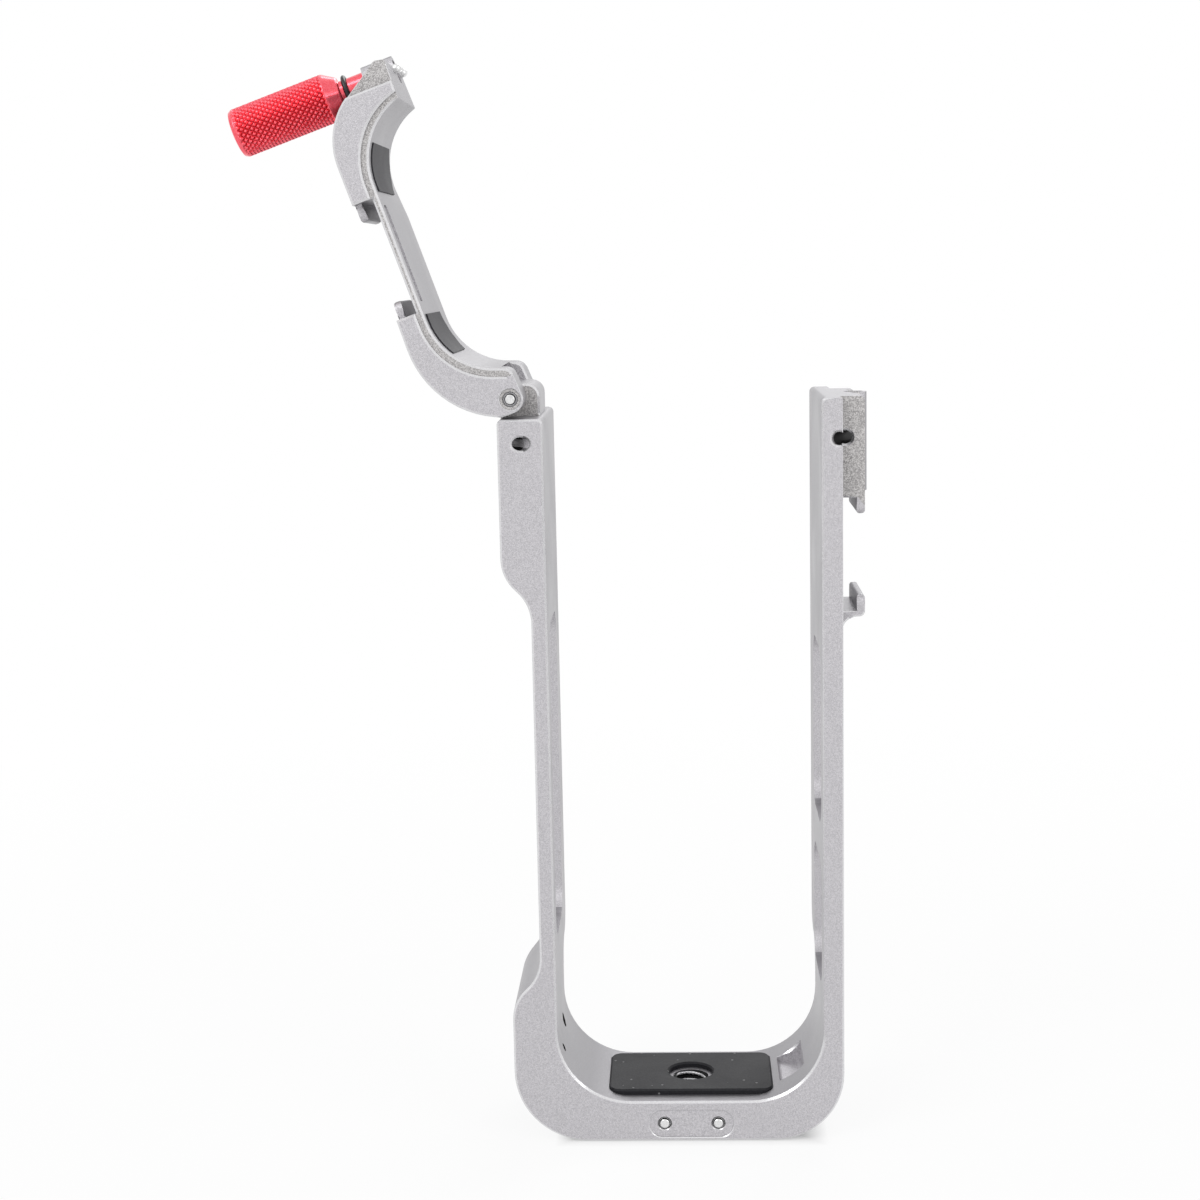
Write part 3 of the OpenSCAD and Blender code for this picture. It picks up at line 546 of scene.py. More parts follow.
@dataclass
class ChamferedCopy:
    """A merged copy of a CAD node whose flat faces towards some directions get chamfered rims.

    The rim of such a face moves inwards by the chamfer's width, twice the sum of its two edges'
    inward normals over that sum's square, and the old rim moves back along the wall by the same
    width, or by a share of the wall's depth where the wall is short. That cuts the edge at 45
    degrees. A point at an inner corner, where a wall stands in front, stays as it is. Where the
    move would turn a triangle of the face over, its points move less.
    """

    node: str
    name: str
    width: float
    ways: tuple[Triple, ...]

    # A face looks one way if its normal's share of that way is more than this.
    FLAT: ClassVar[float] = 0.9995
    # In square metres and metres: twice a triangle's least area, and a wall's least depth.
    LEAST_AREA: ClassVar[float] = 1e-14
    LEAST_DEPTH: ClassVar[float] = 1e-6
    # An edge that runs into an inner corner is split if it is this many widths long.
    LONG: ClassVar[float] = 3.0
    # The most that a rim point moves, for a chamfer of width 1 and as a share of the wall.
    FARTHEST: ClassVar[float] = 1.5
    WALL_SHARE: ClassVar[float] = 0.6
    TRIES: ClassVar[int] = 14
    SHRINK: ClassVar[float] = 0.6

    def build(self) -> tuple[bpy.types.Object, Array]:
        """Makes the copy.

        Returns:
            The new object, and whether each face is a chamfer.
        """
        work = bmesh.new()
        work.from_mesh(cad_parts[self.node].data)
        merge(work, same=2e-7, shortest=1e-7)
        bmesh.ops.triangulate(work, faces=work.faces)
        work.verts.index_update()
        points = np.array([point.co[:] for point in work.verts])
        triangles = np.array([[point.index for point in face.verts] for face in work.faces])
        work.free()
        marks = np.zeros(len(triangles), dtype=bool)
        for way in self.ways:
            points, triangles, marks = self.cut(points, triangles, marks, np.array(way))
        used, numbers = np.unique(triangles, return_inverse=True)
        mesh = bpy.data.meshes.new(self.name)
        mesh.from_pydata(points[used].tolist(), [], numbers.reshape(-1, 3).tolist())
        return link(self.name, mesh), marks

    def rim(self, points: Array, triangles: Array, way: Array) -> tuple[Array, ...]:
        """Finds the faces that look one way, and their rim.

        Args:
            points: the mesh's points.
            triangles: its triangles.
            way: the direction.

        Returns:
            Whether each triangle looks that way, the rim edges' starts and ends, how far the wall
            behind each reaches back, which is 0 or less at an inner corner, and the inner points.
        """
        first, second, third = corners_of(points, triangles)
        normal = np.cross(second - first, third - first)
        size = np.linalg.norm(normal, axis=1)
        region = (normal @ way > self.FLAT * size) & (size > self.LEAST_AREA)
        start, end, opposite = (triangles[:, order].ravel()
                                for order in ([0, 1, 2], [1, 2, 0], [2, 0, 1]))
        forward, backward = start * len(points) + end, end * len(points) + start
        inside = np.repeat(region, 3)
        edge = np.flatnonzero(inside & ~np.isin(backward, forward[inside]))
        order = np.argsort(forward)
        found = np.clip(np.searchsorted(forward[order], backward[edge]), 0, len(order) - 1)
        paired = forward[order][found] == backward[edge]
        beyond = points[opposite[order][found]]
        start, end = start[edge], end[edge]
        depth = np.where(paired, (points[start] - beyond) @ way, 0.0)
        shallow = depth < self.LEAST_DEPTH
        return region, start, end, depth, np.concatenate([start[shallow], end[shallow]])

    def split(self, points: Array, triangles: Array, marks: Array, pairs: Array) -> Mesh:
        """Adds a point near the first end of each edge, so that a chamfer fades out there.

        Args:
            points: the mesh's points.
            triangles: its triangles.
            marks: whether each triangle is a chamfer.
            pairs: each edge's near and far end.

        Returns:
            The new points, triangles and marks.
        """
        for near, far in pairs:
            gap = points[far] - points[near]
            added = points[near] + gap * (self.width * MM / np.linalg.norm(gap))
            points = np.vstack([points, added])
            has_near, has_far = ((triangles == end).any(axis=1) for end in (near, far))
            sides = np.flatnonzero(has_near & has_far)
            halves, rest = triangles[sides].copy(), triangles[sides]
            halves[halves == near] = len(points) - 1
            rest[rest == far] = len(points) - 1
            triangles[sides] = rest
            triangles = np.vstack([triangles, halves])
            marks = np.concatenate([marks, marks[sides]])
        return points, triangles, marks

    def cut(self, points: Array, triangles: Array, marks: Array, way: Array) -> Mesh:
        """Chamfers the rims of the flat faces that look one way.

        Args:
            points: the mesh's points.
            triangles: its triangles.
            marks: whether each triangle is a chamfer.
            way: the direction.

        Returns:
            The new points, triangles and marks.
        """
        width = self.width * MM
        _, start, end, depth, inner = self.rim(points, triangles, way)
        length = np.linalg.norm(points[end] - points[start], axis=1)
        long = (depth > self.LEAST_DEPTH) & (length > self.LONG * width)
        fade = long & (np.isin(start, inner) != np.isin(end, inner))
        pairs = [(a, b) if a in inner else (b, a) for a, b in zip(start[fade], end[fade])]
        points, triangles, marks = self.split(points, triangles, marks, pairs)
        region, start, end, depth, inner = self.rim(points, triangles, way)
        along = points[end] - points[start]
        inward = np.cross(way, along / np.linalg.norm(along, axis=1)[:, None])
        total, least = np.zeros_like(points), np.full(len(points), np.inf)
        for ends in (start, end):
            np.add.at(total, ends, inward)
            np.minimum.at(least, ends, depth)
        moving = np.setdiff1d(np.concatenate([start, end]), inner)
        least_length = 1e-9
        length = np.maximum(np.linalg.norm(total[moving], axis=1), least_length)
        scale = np.minimum(2.0 / length ** 2, self.FARTHEST / length)
        amount = np.minimum(width, self.WALL_SHARE * least[moving])
        for _ in range(self.TRIES):
            trial = points.copy()
            trial[moving] += total[moving] * (scale * amount)[:, None]
            first, second, third = corners_of(trial, triangles[region])
            turned = np.cross(second - first, third - first) @ way <= 0.0
            amount[np.isin(moving, triangles[region][turned])] *= self.SHRINK
        renamed = np.arange(len(points))
        renamed[moving] = len(points) + np.arange(len(moving))
        points = np.vstack([points, trial[moving]])
        points[moving] -= way * amount[:, None]
        rims = np.vstack([np.stack([start, end, renamed[end]], axis=1),
                          np.stack([start, renamed[end], renamed[start]], axis=1)])
        ordered = np.sort(rims, axis=1)
        rims = rims[(ordered[:, 0] != ordered[:, 1]) & (ordered[:, 1] != ordered[:, 2])]
        triangles[region] = renamed[triangles[region]]
        marks = np.concatenate([marks, np.ones(len(rims), dtype=bool)])
        return points, np.vstack([triangles, rims]), marks


def face_data(mesh: bpy.types.Mesh) -> tuple[Array, Array]:
    """Reads where a mesh's faces are and which way they look.

    Args:
        mesh: the mesh.

    Returns:
        Every face's centre in millimetres, and its normal.
    """
    centres, normals = (np.zeros(len(mesh.polygons) * 3) for _ in range(2))
    mesh.polygons.foreach_get("center", centres)
    mesh.polygons.foreach_get("normal", normals)
    return centres.reshape(-1, 3) / MM, normals.reshape(-1, 3)


def settle(thing: bpy.types.Object, body: Body, slot: Slot, *nodes: str) -> None:
    """Rides a piece on its body and hides the CAD nodes that it stands for.

    Args:
        thing: the piece.
        body: the body that it rides on.
        slot: not used; the record's slot that its finish stands for.
        nodes: the CAD nodes that it replaces.
    """
    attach(thing, body.value)
    if nodes:
        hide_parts(*nodes)
    LOG.info("%s rides %s, %d faces", thing.name, body.value, len(thing.data.polygons))


# ---- Machined metal ----


@dataclass(frozen=True)
class Bore:
    """A hole whose wall takes painted shade past a depth from its mouth, in millimetres, level and
    turned from X in degrees.

    A point is in it if its distance from the axis, the length of its offset from the mouth less
    the part along the axis, is at most the radius.
    """

    mouth: Triple
    turn: float
    radius: float
    painted_shade_from: float
    end: float

    SLACK: ClassVar[float] = 0.01
    BEFORE_MOUTH: ClassVar[float] = -4.0

    def axis(self) -> Array:
        """The hole's direction."""
        return np.array([math.cos(math.radians(self.turn)), math.sin(math.radians(self.turn)), 0.0])

    def holds(self, centres: Array, start: float) -> Array:
        """Finds the points in the hole that are deeper than the start.

        Args:
            centres: n by 3 points.
            start: a depth from the mouth.

        Returns:
            Whether each point is in it.
        """
        offset = centres - np.array(self.mouth)
        along = offset @ self.axis()
        away = np.linalg.norm(offset - along[:, None] * self.axis(), axis=1)
        return (away < self.radius + self.SLACK) & (along > start) & (along < self.end)

    def cut(self, mesh: bpy.types.Mesh) -> None:
        """Cuts the hole's wall round where the painted shade starts.

        Args:
            mesh: the mesh that the hole is in.
        """
        inside = self.holds(face_data(mesh)[0], self.BEFORE_MOUTH)
        work = bmesh.new()
        work.from_mesh(mesh)
        wall = [face for face, within in zip(work.faces, inside) if within]
        parts = {part for face in wall for part in (*face.verts, *face.edges)}
        place = (np.array(self.mouth) + self.painted_shade_from * self.axis()) * MM
        bmesh.ops.bisect_plane(work, geom=[*wall, *parts], plane_co=place,
                               plane_no=self.axis(), dist=1e-6)
        work.to_mesh(mesh)
        work.free()


@dataclass(frozen=True)
class FrontZone:
    """Set-back faces that look to the front, by how far back and how high they lie."""

    behind: float
    before: float
    above: float

    TO_FRONT: ClassVar[float] = -0.9

    def holds(self, centres: Array, normals: Array) -> Array:
        """Finds the faces in the zone, from all the faces' centres and normals."""
        to_front, y, z = normals[:, 1] < self.TO_FRONT, centres[:, 1], centres[:, 2]
        return to_front & (y > self.behind) & (y < self.before) & (z > self.above)


class Skin(IntEnum):
    """A machined part's kinds of face, in the order of its materials."""

    FRONT = 0
    SET_BACK = 1
    WALL = 2
    EDGE_HIGHLIGHT = 3
    DEEP_SHADE = 4


@dataclass
class MachinedPart:
    """A CAD solid as machined: merged, with a painted highlight on its chamfers, and painted shade
    on its coarser set-back faces, its smoother walls and inside its bores.
    """

    node: str
    name: str
    body: Body
    slot: Slot
    finishes: Finishes
    chamfer: float = 0.36
    set_back: FaceTest | None = None
    wall: FaceTest | None = None
    bores: tuple[Bore, ...] = ()

    WAYS: ClassVar[tuple[Triple, ...]] = ((0.0, -1.0, 0.0), (0.0, 1.0, 0.0))
    LOOKS: ClassVar[tuple[Look, ...]] = (Look.BLASTED, Look.COARSE_SHADED, Look.SMOOTH_SHADED, Look.EDGE_HIGHLIGHT,
                                         Look.DEEP_SHADE)

    def build(self) -> None:
        """Makes the piece, chooses each face's finish and chamfers the edges."""
        thing, rims = ChamferedCopy(self.node, self.name, self.chamfer, self.WAYS).build()
        mesh = thing.data
        centres, normals = face_data(mesh)
        index = np.full(len(centres), Skin.FRONT, dtype=np.int32)
        for test, skin in ((self.wall, Skin.WALL), (self.set_back, Skin.SET_BACK)):
            if test is not None:
                index[test(centres, normals)] = skin
        # Chamfer faces take the painted highlight.
        index[rims] = Skin.EDGE_HIGHLIGHT
        self.finishes.dress(thing, *self.LOOKS, index=index)
        # Faces deep in a bore take the near-black painted shade.
        for bore in self.bores:
            bore.cut(mesh)
            index = np.zeros(len(mesh.polygons), dtype=np.int32)
            mesh.polygons.foreach_get("material_index", index)
            deep = bore.holds(face_data(mesh)[0], bore.painted_shade_from) & (index != Skin.EDGE_HIGHLIGHT)
            index[deep] = Skin.DEEP_SHADE
            mesh.polygons.foreach_set("material_index", index)
        smooth(thing)
        settle(thing, self.body, self.slot, self.node)


# ---- The arm's own frame ----


@dataclass(frozen=True)
class ArmFrame:
    """Where the closed arm's points go when it stands open, in millimetres.

    The closed arm's points are counted from its hinge, and its latch screw stands along Z.
    """

    hinge_x: float = -28.48
    hinge_z: float = 130.17
    open_angle: float = 109.5
    latch_x: float = 58.2
    latch_y: float = 4.0

    def seat(self, points: Array) -> Array:
        """Turns points about the hinge by the open angle, and moves them to the hinge.

        Args:
            points: n by 3 points of the closed arm.

        Returns:
            The same points on the open arm.
        """
        turn = math.radians(-self.open_angle)
        x = points[:, 0] * math.cos(turn) + points[:, 2] * math.sin(turn)
        z = -points[:, 0] * math.sin(turn) + points[:, 2] * math.cos(turn)
        return np.stack([x + self.hinge_x, points[:, 1], z + self.hinge_z], axis=1)

    def on_latch(self, points: Array, aside: float = 0.0) -> Array:
        """Carries points from an axis at the latch screw, or aside of it, to the open arm."""
        return self.seat(points + np.array([self.latch_x, self.latch_y + aside, 0.0]))


# ---- The knob ----


@dataclass
class LatchKnob:
    """The red knob: a diamond-knurled grip with a dished end, a cone and a thin neck.

    All sizes are in millimetres, and heights are along the latch screw.
    """

    finishes: Finishes
    arm: ArmFrame
    grip_start: float = 11.8
    grip_end: float = 29.2
    radius: float = 4.2
    dish_radius: float = 1.9
    dish_rim_radius: float = 2.3
    dish_depth: float = 0.45
    cone_bevel: Pair = (0.12, 0.25)
    teeth: int = 26
    depth: float = 0.45
    steepness: float = 1.7
    climb_to_pitch: float = 1.15
    plain_below: float = 0.35
    plain_above: float = 0.9
    fade: float = 0.25
    pit_shade_from: float = 0.75
    stud_pitch: float = 0.45
    stud_ridge: float = 0.12
    stud_root: float = 1.0
    ring_radius: float = 2.25
    ring_height: float = 8.55
    ring_half_width: float = 0.48
    ring_half_height: float = 0.4

    # How far the rounded rim's corners lie in from the radius and back from the grip's end.
    RIM: ClassVar[tuple[Pair, ...]] = ((0.75, 0.0), (0.3, 0.16), (0.0, 0.7))
    # Radius and height from the cone's foot over the ring's groove to the neck's end.
    NECK: ClassVar[tuple[Pair, ...]] = (
        (2.85, 9.85), (2.68, 9.7), (2.1, 9.7), (2.0, 9.6), (2.0, 9.05), (1.72, 9.0),
        (1.72, 8.1), (2.0, 8.05), (2.0, 3.0), (1.85, 2.82), (0.0, 2.82))
    # Radius and height of the stud, from its tip to where it enters the neck.
    STUD: ClassVar[tuple[Pair, ...]] = (
        (0.0, -0.2), (0.85, -0.2), (1.1, 0.1), (1.1, 2.8), (0.0, 2.8))
    GRIP_STEPS: ClassVar[int] = 360
    GRIP_SHARP: ClassVar[float] = 60.0

    def knurl(self, turn: Array, height: Array, radius: Array) -> Array:
        """Two families of helical grooves, crossed: the depth is that of the deeper groove.

        Each groove is a triangle wave of the turn plus or minus the height over the pitch.

        Args:
            turn: each point's angle.
            height: its height.
            radius: its radius.

        Returns:
            The change of each point's radius.
        """
        pitch = FULL_TURN * self.radius / self.teeth
        from_ends = np.minimum(height - self.grip_start - self.plain_below,
                               self.grip_end - self.plain_above - height)
        inside = np.clip(from_ends / self.fade, 0.0, 1.0) * (radius > self.radius - self.fade)
        phase = self.teeth * turn / FULL_TURN
        climb = height / (self.climb_to_pitch * pitch)
        lower = np.minimum(wave(phase - climb), wave(phase + climb))
        ridge = np.minimum(1.0, self.steepness * lower)
        return -self.depth * inside * (1.0 - ridge)

    def pits(self, centres: Array) -> Array:
        """Finds the faces in the knurl's bottom, which take a darker red as painted shade.

        The distance from the axis is the length of the offset's cross product with the axis.

        Args:
            centres: the faces' centres.

        Returns:
            Whether each face is in it.
        """
        low, high = self.arm.on_latch(np.array([[0.0, 0.0, 0.0], [0.0, 0.0, 1.0]]))
        below, above, within = 0.6, 1.1, 1.0
        offset = centres - low
        away = np.linalg.norm(np.cross(offset, high - low), axis=1)
        along = offset @ (high - low)
        grip = (along > self.grip_start + below) & (along < self.grip_end - above)
        bottom = self.radius - self.pit_shade_from * self.depth
        return grip & (away > self.radius - within) & (away < bottom)

    def outline(self) -> list[Pair]:
        """The knob's profile, from the middle of its dished end to its neck's end.

        Returns:
            The radius and height of each corner.
        """
        dish, end = self.grip_end - self.dish_depth, self.grip_end
        bevel_in, bevel_along = self.cone_bevel
        return [(0.0, dish), (self.dish_radius, dish), (self.dish_rim_radius, end),
                *((self.radius - inwards, end - back) for inwards, back in self.RIM),
                (self.radius, self.grip_start + bevel_along),
                (self.radius - bevel_in, self.grip_start), *self.NECK]

    def stud_thread(self, turn: Array, height: Array, radius: Array) -> Array:
        """The stud's thread, cut into its wall: a triangle wave of the height and the turn."""
        on_wall = radius > self.stud_root
        return -self.stud_ridge * on_wall * helix(turn, height, self.stud_pitch)

    def build(self) -> None:
        """Makes the knob, its stud and the ring on its neck.

        The ring's section is an ellipse, by the cosine and the sine of an angle.
        """
        knob = revolve("knurled_knob", spread(self.outline(), self.GRIP_STEPS),
                       self.arm.on_latch, self.GRIP_STEPS, self.knurl)
        smooth(knob, self.GRIP_SHARP)
        # The knurl's bottom faces take the darker red of painted shade.
        self.finishes.dress(knob, Look.RED, Look.RED_PIT_SHADE, index=self.pits(face_data(knob.data)[0]))
        settle(knob, Body.KNOB, Slot.KNOB, "knob")
        along, round_it = 70, 40
        stud = revolve("latch_stud", spread(self.STUD, along), self.arm.on_latch, round_it,
                       self.stud_thread)
        self.finishes.dress(stud, Look.STEEL)
        settle(stud, Body.KNOB, Slot.STEEL, "knob_stud")
        across, round_it = 20, 72
        angle = np.linspace(0.0, FULL_TURN, across, endpoint=False)
        section = np.stack([self.ring_radius + self.ring_half_width * np.cos(angle),
                            self.ring_height + self.ring_half_height * np.sin(angle)], axis=1)
        ring = revolve("neck_o_ring", section, self.arm.on_latch, round_it, loop=True)
        self.finishes.dress(ring, Look.RING)
        settle(ring, Body.RING, Slot.RING, "neck_ring")


# ---- Threads ----


@dataclass(frozen=True)
class Thread:
    """A thin sleeve along Z with a thread inside, in millimetres."""

    name: str
    axis: Pair
    inner: float
    outer: float
    low: float
    high: float
    pitch: float
    depth: float
    rows: int
    segments: int

    def relief(self, turn: Array, height: Array, radius: Array) -> Array:
        """Ridges that point inwards: a helix wave times a slope, less a flat root.

        Args:
            turn: each point's angle.
            height: its height.
            radius: its radius.

        Returns:
            The change of each point's radius, on the inner wall only.
        """
        slope, root, slack = 1.5, 0.25, 0.01
        ridge = np.clip(slope * helix(turn, height, self.pitch) - root, 0.0, 1.0)
        return -self.depth * ridge * (radius < self.inner + slack)

    def build(self) -> bpy.types.Object:
        """Makes the sleeve: its profile goes up the threaded wall and down the outer one.

        Returns:
            The new piece.
        """
        up = np.linspace(self.low, self.high, self.rows)
        wall = np.stack([np.full(self.rows, self.inner), up], axis=1)
        profile = np.concatenate([wall, [[self.outer, self.high], [self.outer, self.low]]])
        offset = np.array([*self.axis, 0.0])
        return revolve(self.name, profile, lambda points: points + offset, self.segments,
                       self.relief, loop=True)


@dataclass
class Threads:
    """The tripod thread in the base and the insert in the right leg."""

    finishes: Finishes
    tripod: Thread = Thread("tripod_thread", (0.0, 0.0), 3.12, 3.16, 0.35, 7.1, 1.27, 0.55, 160, 72)
    insert: Thread = Thread("latch_insert", (29.72, 4.0), 1.5, 1.65, 123.65, 128.65, 0.45, 0.2,
                            90, 40)
    highlight_crest_radius: float = 2.75

    def build(self) -> None:
        """Makes both threads, the tripod's near black with painted shade and with a painted
        highlight on its crests.
        """
        tripod = self.tripod.build()
        centres, _ = face_data(tripod.data)
        highlighted_crest = np.hypot(centres[:, 0], centres[:, 1]) < self.highlight_crest_radius
        # The tripod thread is painted shade, but for painted highlights on its crests.
        self.finishes.dress(tripod, Look.DEEP_SHADE, Look.EDGE_HIGHLIGHT, index=highlighted_crest)
        settle(tripod, Body.FRAME, Slot.CAGE)
        insert = self.insert.build()
        self.finishes.dress(insert, Look.STEEL)
        settle(insert, Body.FRAME, Slot.STEEL, "latch_insert")


# ---- Pins and washers ----


@dataclass(frozen=True)
class Rod:
    """A pin along Y: its name and node, its axis, and its front and back ends, in millimetres."""

    name: str
    node: str
    x: float
    z: float
    front: float
    back: float


@dataclass
class Pins:
    """The bright pins, whose ends are dimpled and stand in a gap painted with shade, and the plain
    washers.
    """

    finishes: Finishes
    arm: ArmFrame
    radius: float = 0.9
    gap: float = 0.11
    gap_depth: float = 0.4
    back_bevel: float = 0.2
    locator_radius: float = 0.78
    locator_tip: float = -1.75
    locator_end: float = 3.0
    locator_aside: float = 4.0

    RODS: ClassVar[tuple[Rod, ...]] = (
        Rod("hinge_pin_rod", "hinge_pin", -28.48, 130.17, -11.98, 20.98),
        Rod("finger_pin_rod_left", "finger_pin_left", -4.7, 3.08, -11.87, 7.9),
        Rod("finger_pin_rod_right", "finger_pin_right", 4.7, 3.08, -11.87, 7.9))
    WASHERS: ClassVar[tuple[str, ...]] = (
        "finger_washer_left", "finger_washer_right", "hinge_washer_front", "hinge_washer_rear")

    def rod(self, pin: Rod) -> None:
        """Makes one pin from its front end to its back end.

        Its profile goes out over the dimpled end, back into the gap round it, along the shank,
        and in over the back's bevel.

        Args:
            pin: the pin's names and place.
        """
        rim, length = self.radius - self.gap, pin.back - pin.front
        middle, edge, deepest, deep = 0.28 * self.radius, 0.5 * self.radius, 0.07, 0.06
        round_in, round_back = 0.1, 0.08
        corners = [(0.0, deepest), (middle, deep), (edge, 0.0),
                   (rim - round_in, 0.0), (rim, round_back), (rim, self.gap_depth),
                   (self.radius, self.gap_depth), (self.radius, length - self.back_bevel),
                   (rim, length), (0.0, length)]
        along, round_it = 46, 40
        thing = revolve(pin.name, spread(corners, along), lambda points: np.stack(
            [points[:, 0] + pin.x, points[:, 2] + pin.front, points[:, 1] + pin.z], axis=1),
            round_it)
        centres, _ = face_data(thing.data)
        away = np.hypot(centres[:, 0] - pin.x, centres[:, 2] - pin.z)
        depth = centres[:, 1] - pin.front
        inside, behind, beyond = 0.03, 0.12, 0.02
        # The gap round each pin's end takes the near-black painted shade.
        shaded_gap = (away > rim - inside) & (depth > behind) & (depth < self.gap_depth + beyond)
        self.finishes.dress(thing, Look.STEEL, Look.DEEP_SHADE, index=shaded_gap)
        settle(thing, Body.FRAME, Slot.STEEL, pin.node)

    def locator(self, name: str, aside: float, node: str) -> None:
        """Makes one locating pin at the arm's tip, with a domed end.

        The dome's radius is the pin's times the sine of an angle, and its height the pin's times
        one less the cosine.

        Args:
            name: the piece's name.
            aside: how far it stands behind the latch screw.
            node: the CAD node that it replaces.
        """
        over, along, round_it = 9, 50, 36
        angle = np.linspace(0.0, FULL_TURN / 4.0, over)
        dome = zip(self.locator_radius * np.sin(angle),
                   self.locator_tip + self.locator_radius * (1.0 - np.cos(angle)))
        corners = [*dome, (self.locator_radius, self.locator_end), (0.0, self.locator_end)]
        pin = revolve(name, spread(corners, along),
                      lambda points: self.arm.on_latch(points, aside), round_it)
        self.finishes.dress(pin, Look.STEEL)
        settle(pin, Body.ARM, Slot.STEEL, node)

    def build(self) -> None:
        """Makes every pin and gives the washers their finish."""
        for pin in self.RODS:
            self.rod(pin)
        self.locator("locating_dowel_front", -self.locator_aside, "locating_pin_front")
        self.locator("locating_dowel_rear", self.locator_aside, "locating_pin_rear")
        for node in self.WASHERS:
            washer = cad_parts[node]
            washer.data.materials.clear()
            self.finishes.dress(washer, Look.STEEL)
            LOG.info("%s keeps its solid's shape", node)


# ---- Rubber pads ----


@dataclass
class RubberPads:
    """The black pads on the base and on the arm, the base's with softly rounded edges."""

    finishes: Finishes
    rounding: float = 0.3

    def pad(self, node: str, name: str, body: Body) -> None:
        """Makes one pad from its solid.

        Args:
            node: the CAD node that it replaces.
            name: the piece's name.
            body: the body that it rides on.
        """
        on_base, up = body is Body.FRAME, (0.0, 0.0, 1.0)
        ways = (up,) if on_base else ()
        thing, _ = ChamferedCopy(node, name, self.rounding, ways).build()
        self.finishes.dress(thing, Look.BASE_PAD if on_base else Look.ARM_PAD)
        smooth(thing)
        settle(thing, body, Slot.PAD, node)

    def build(self) -> None:
        """Makes the three pads."""
        self.pad("base_pad", "base_rubber", Body.FRAME)
        self.pad("arm_pad_hinge_side", "arm_rubber_hinge_side", Body.ARM)
        self.pad("arm_pad_latch_side", "arm_rubber_latch_side", Body.ARM)


# ---- The whole cage ----


@dataclass
class CameraCage:
    """Everything that the object is made of, with the places of its finishes in millimetres."""

    finishes: Finishes = field(default_factory=Finishes)
    arm: ArmFrame = field(default_factory=ArmFrame)
    corner_axis: Pair = (10.4, 20.0)
    corner_radius: float = 12.8
    pocket_start: float = 15.6
    pocket_end: float = 20.2
    pocket_reach: float = 5.6
    finger_chamfer: float = 0.25

    # The two lanyard holes and the two small holes in the inner corner, with painted shade inside
    # past a depth.
    BORES: ClassVar[tuple[Bore, ...]] = (
        Bore((-26.93, -12.0, 122.7), 131.0, 1.24, 0.7, 14.0),
        Bore((27.3, -9.0, 122.7), 68.0, 1.24, -2.5, 10.0),
        Bore((-26.0, 2.5, 17.0), 0.0, 1.25, 0.3, 5.0),
        Bore((-26.0, -7.0, 15.4), 0.0, 0.7, 0.2, 5.0))
    # The frame's recesses by the legs' tops, and the arm's set-in band, whose faces take the
    # coarser finish with painted shade.
    RECESS: ClassVar[FrontZone] = FrontZone(-11.5, math.inf, 112.5)
    BAND: ClassVar[FrontZone] = FrontZone(-11.8, -10.0, -math.inf)
    # A face is a wall if its normal's share of Y is less than this.
    WALL: ClassVar[float] = 0.5
    SLACK: ClassVar[float] = 0.03

    def walls(self, centres: Array, normals: Array) -> Array:
        """Finds the walls, which don't face front or back and take the smoother finish with painted
        shade.
        """
        return np.abs(normals[:, 1]) < self.WALL

    def frame_walls(self, centres: Array, normals: Array) -> Array:
        """Finds the frame's walls, but for the corner's pocket.

        A point is behind the rounded corner's surface if its distance from the corner's axis is
        more than the corner's radius.

        Args:
            centres: the faces' centres.
            normals: the faces' normals.

        Returns:
            Whether each face is such a wall.
        """
        x, y, z = centres.T
        away = np.hypot(x - self.corner_axis[0], z - self.corner_axis[1])
        behind = (away > self.corner_radius + self.SLACK) & (np.abs(y) < self.pocket_reach)
        pocket = behind & (x > self.pocket_start) & (x < self.pocket_end)
        return self.walls(centres, normals) & ~(pocket & (z < self.corner_axis[1]))

    def build(self) -> None:
        """Builds the sub-assemblies in order."""
        MachinedPart("cage_frame", "cage_body", Body.FRAME, Slot.CAGE, self.finishes,
                     set_back=self.RECESS.holds, wall=self.frame_walls, bores=self.BORES).build()
        MachinedPart("arm", "arm_body", Body.ARM, Slot.ARM, self.finishes,
                     set_back=self.BAND.holds, wall=self.walls).build()
        for body in (Body.FINGER_LEFT, Body.FINGER_RIGHT):
            MachinedPart(body.value, f"folding_{body.value}", body, Slot.FINGER, self.finishes,
                         chamfer=self.finger_chamfer).build()
        LatchKnob(self.finishes, self.arm).build()
        Threads(self.finishes).build()
        Pins(self.finishes, self.arm).build()
        RubberPads(self.finishes).build()


# ---- Studio ----


@dataclass(frozen=True)
class Lamp:
    """A square area lamp: its place and size in metres, and its power in watts."""

    name: str
    place: Triple
    power: float
    size: float


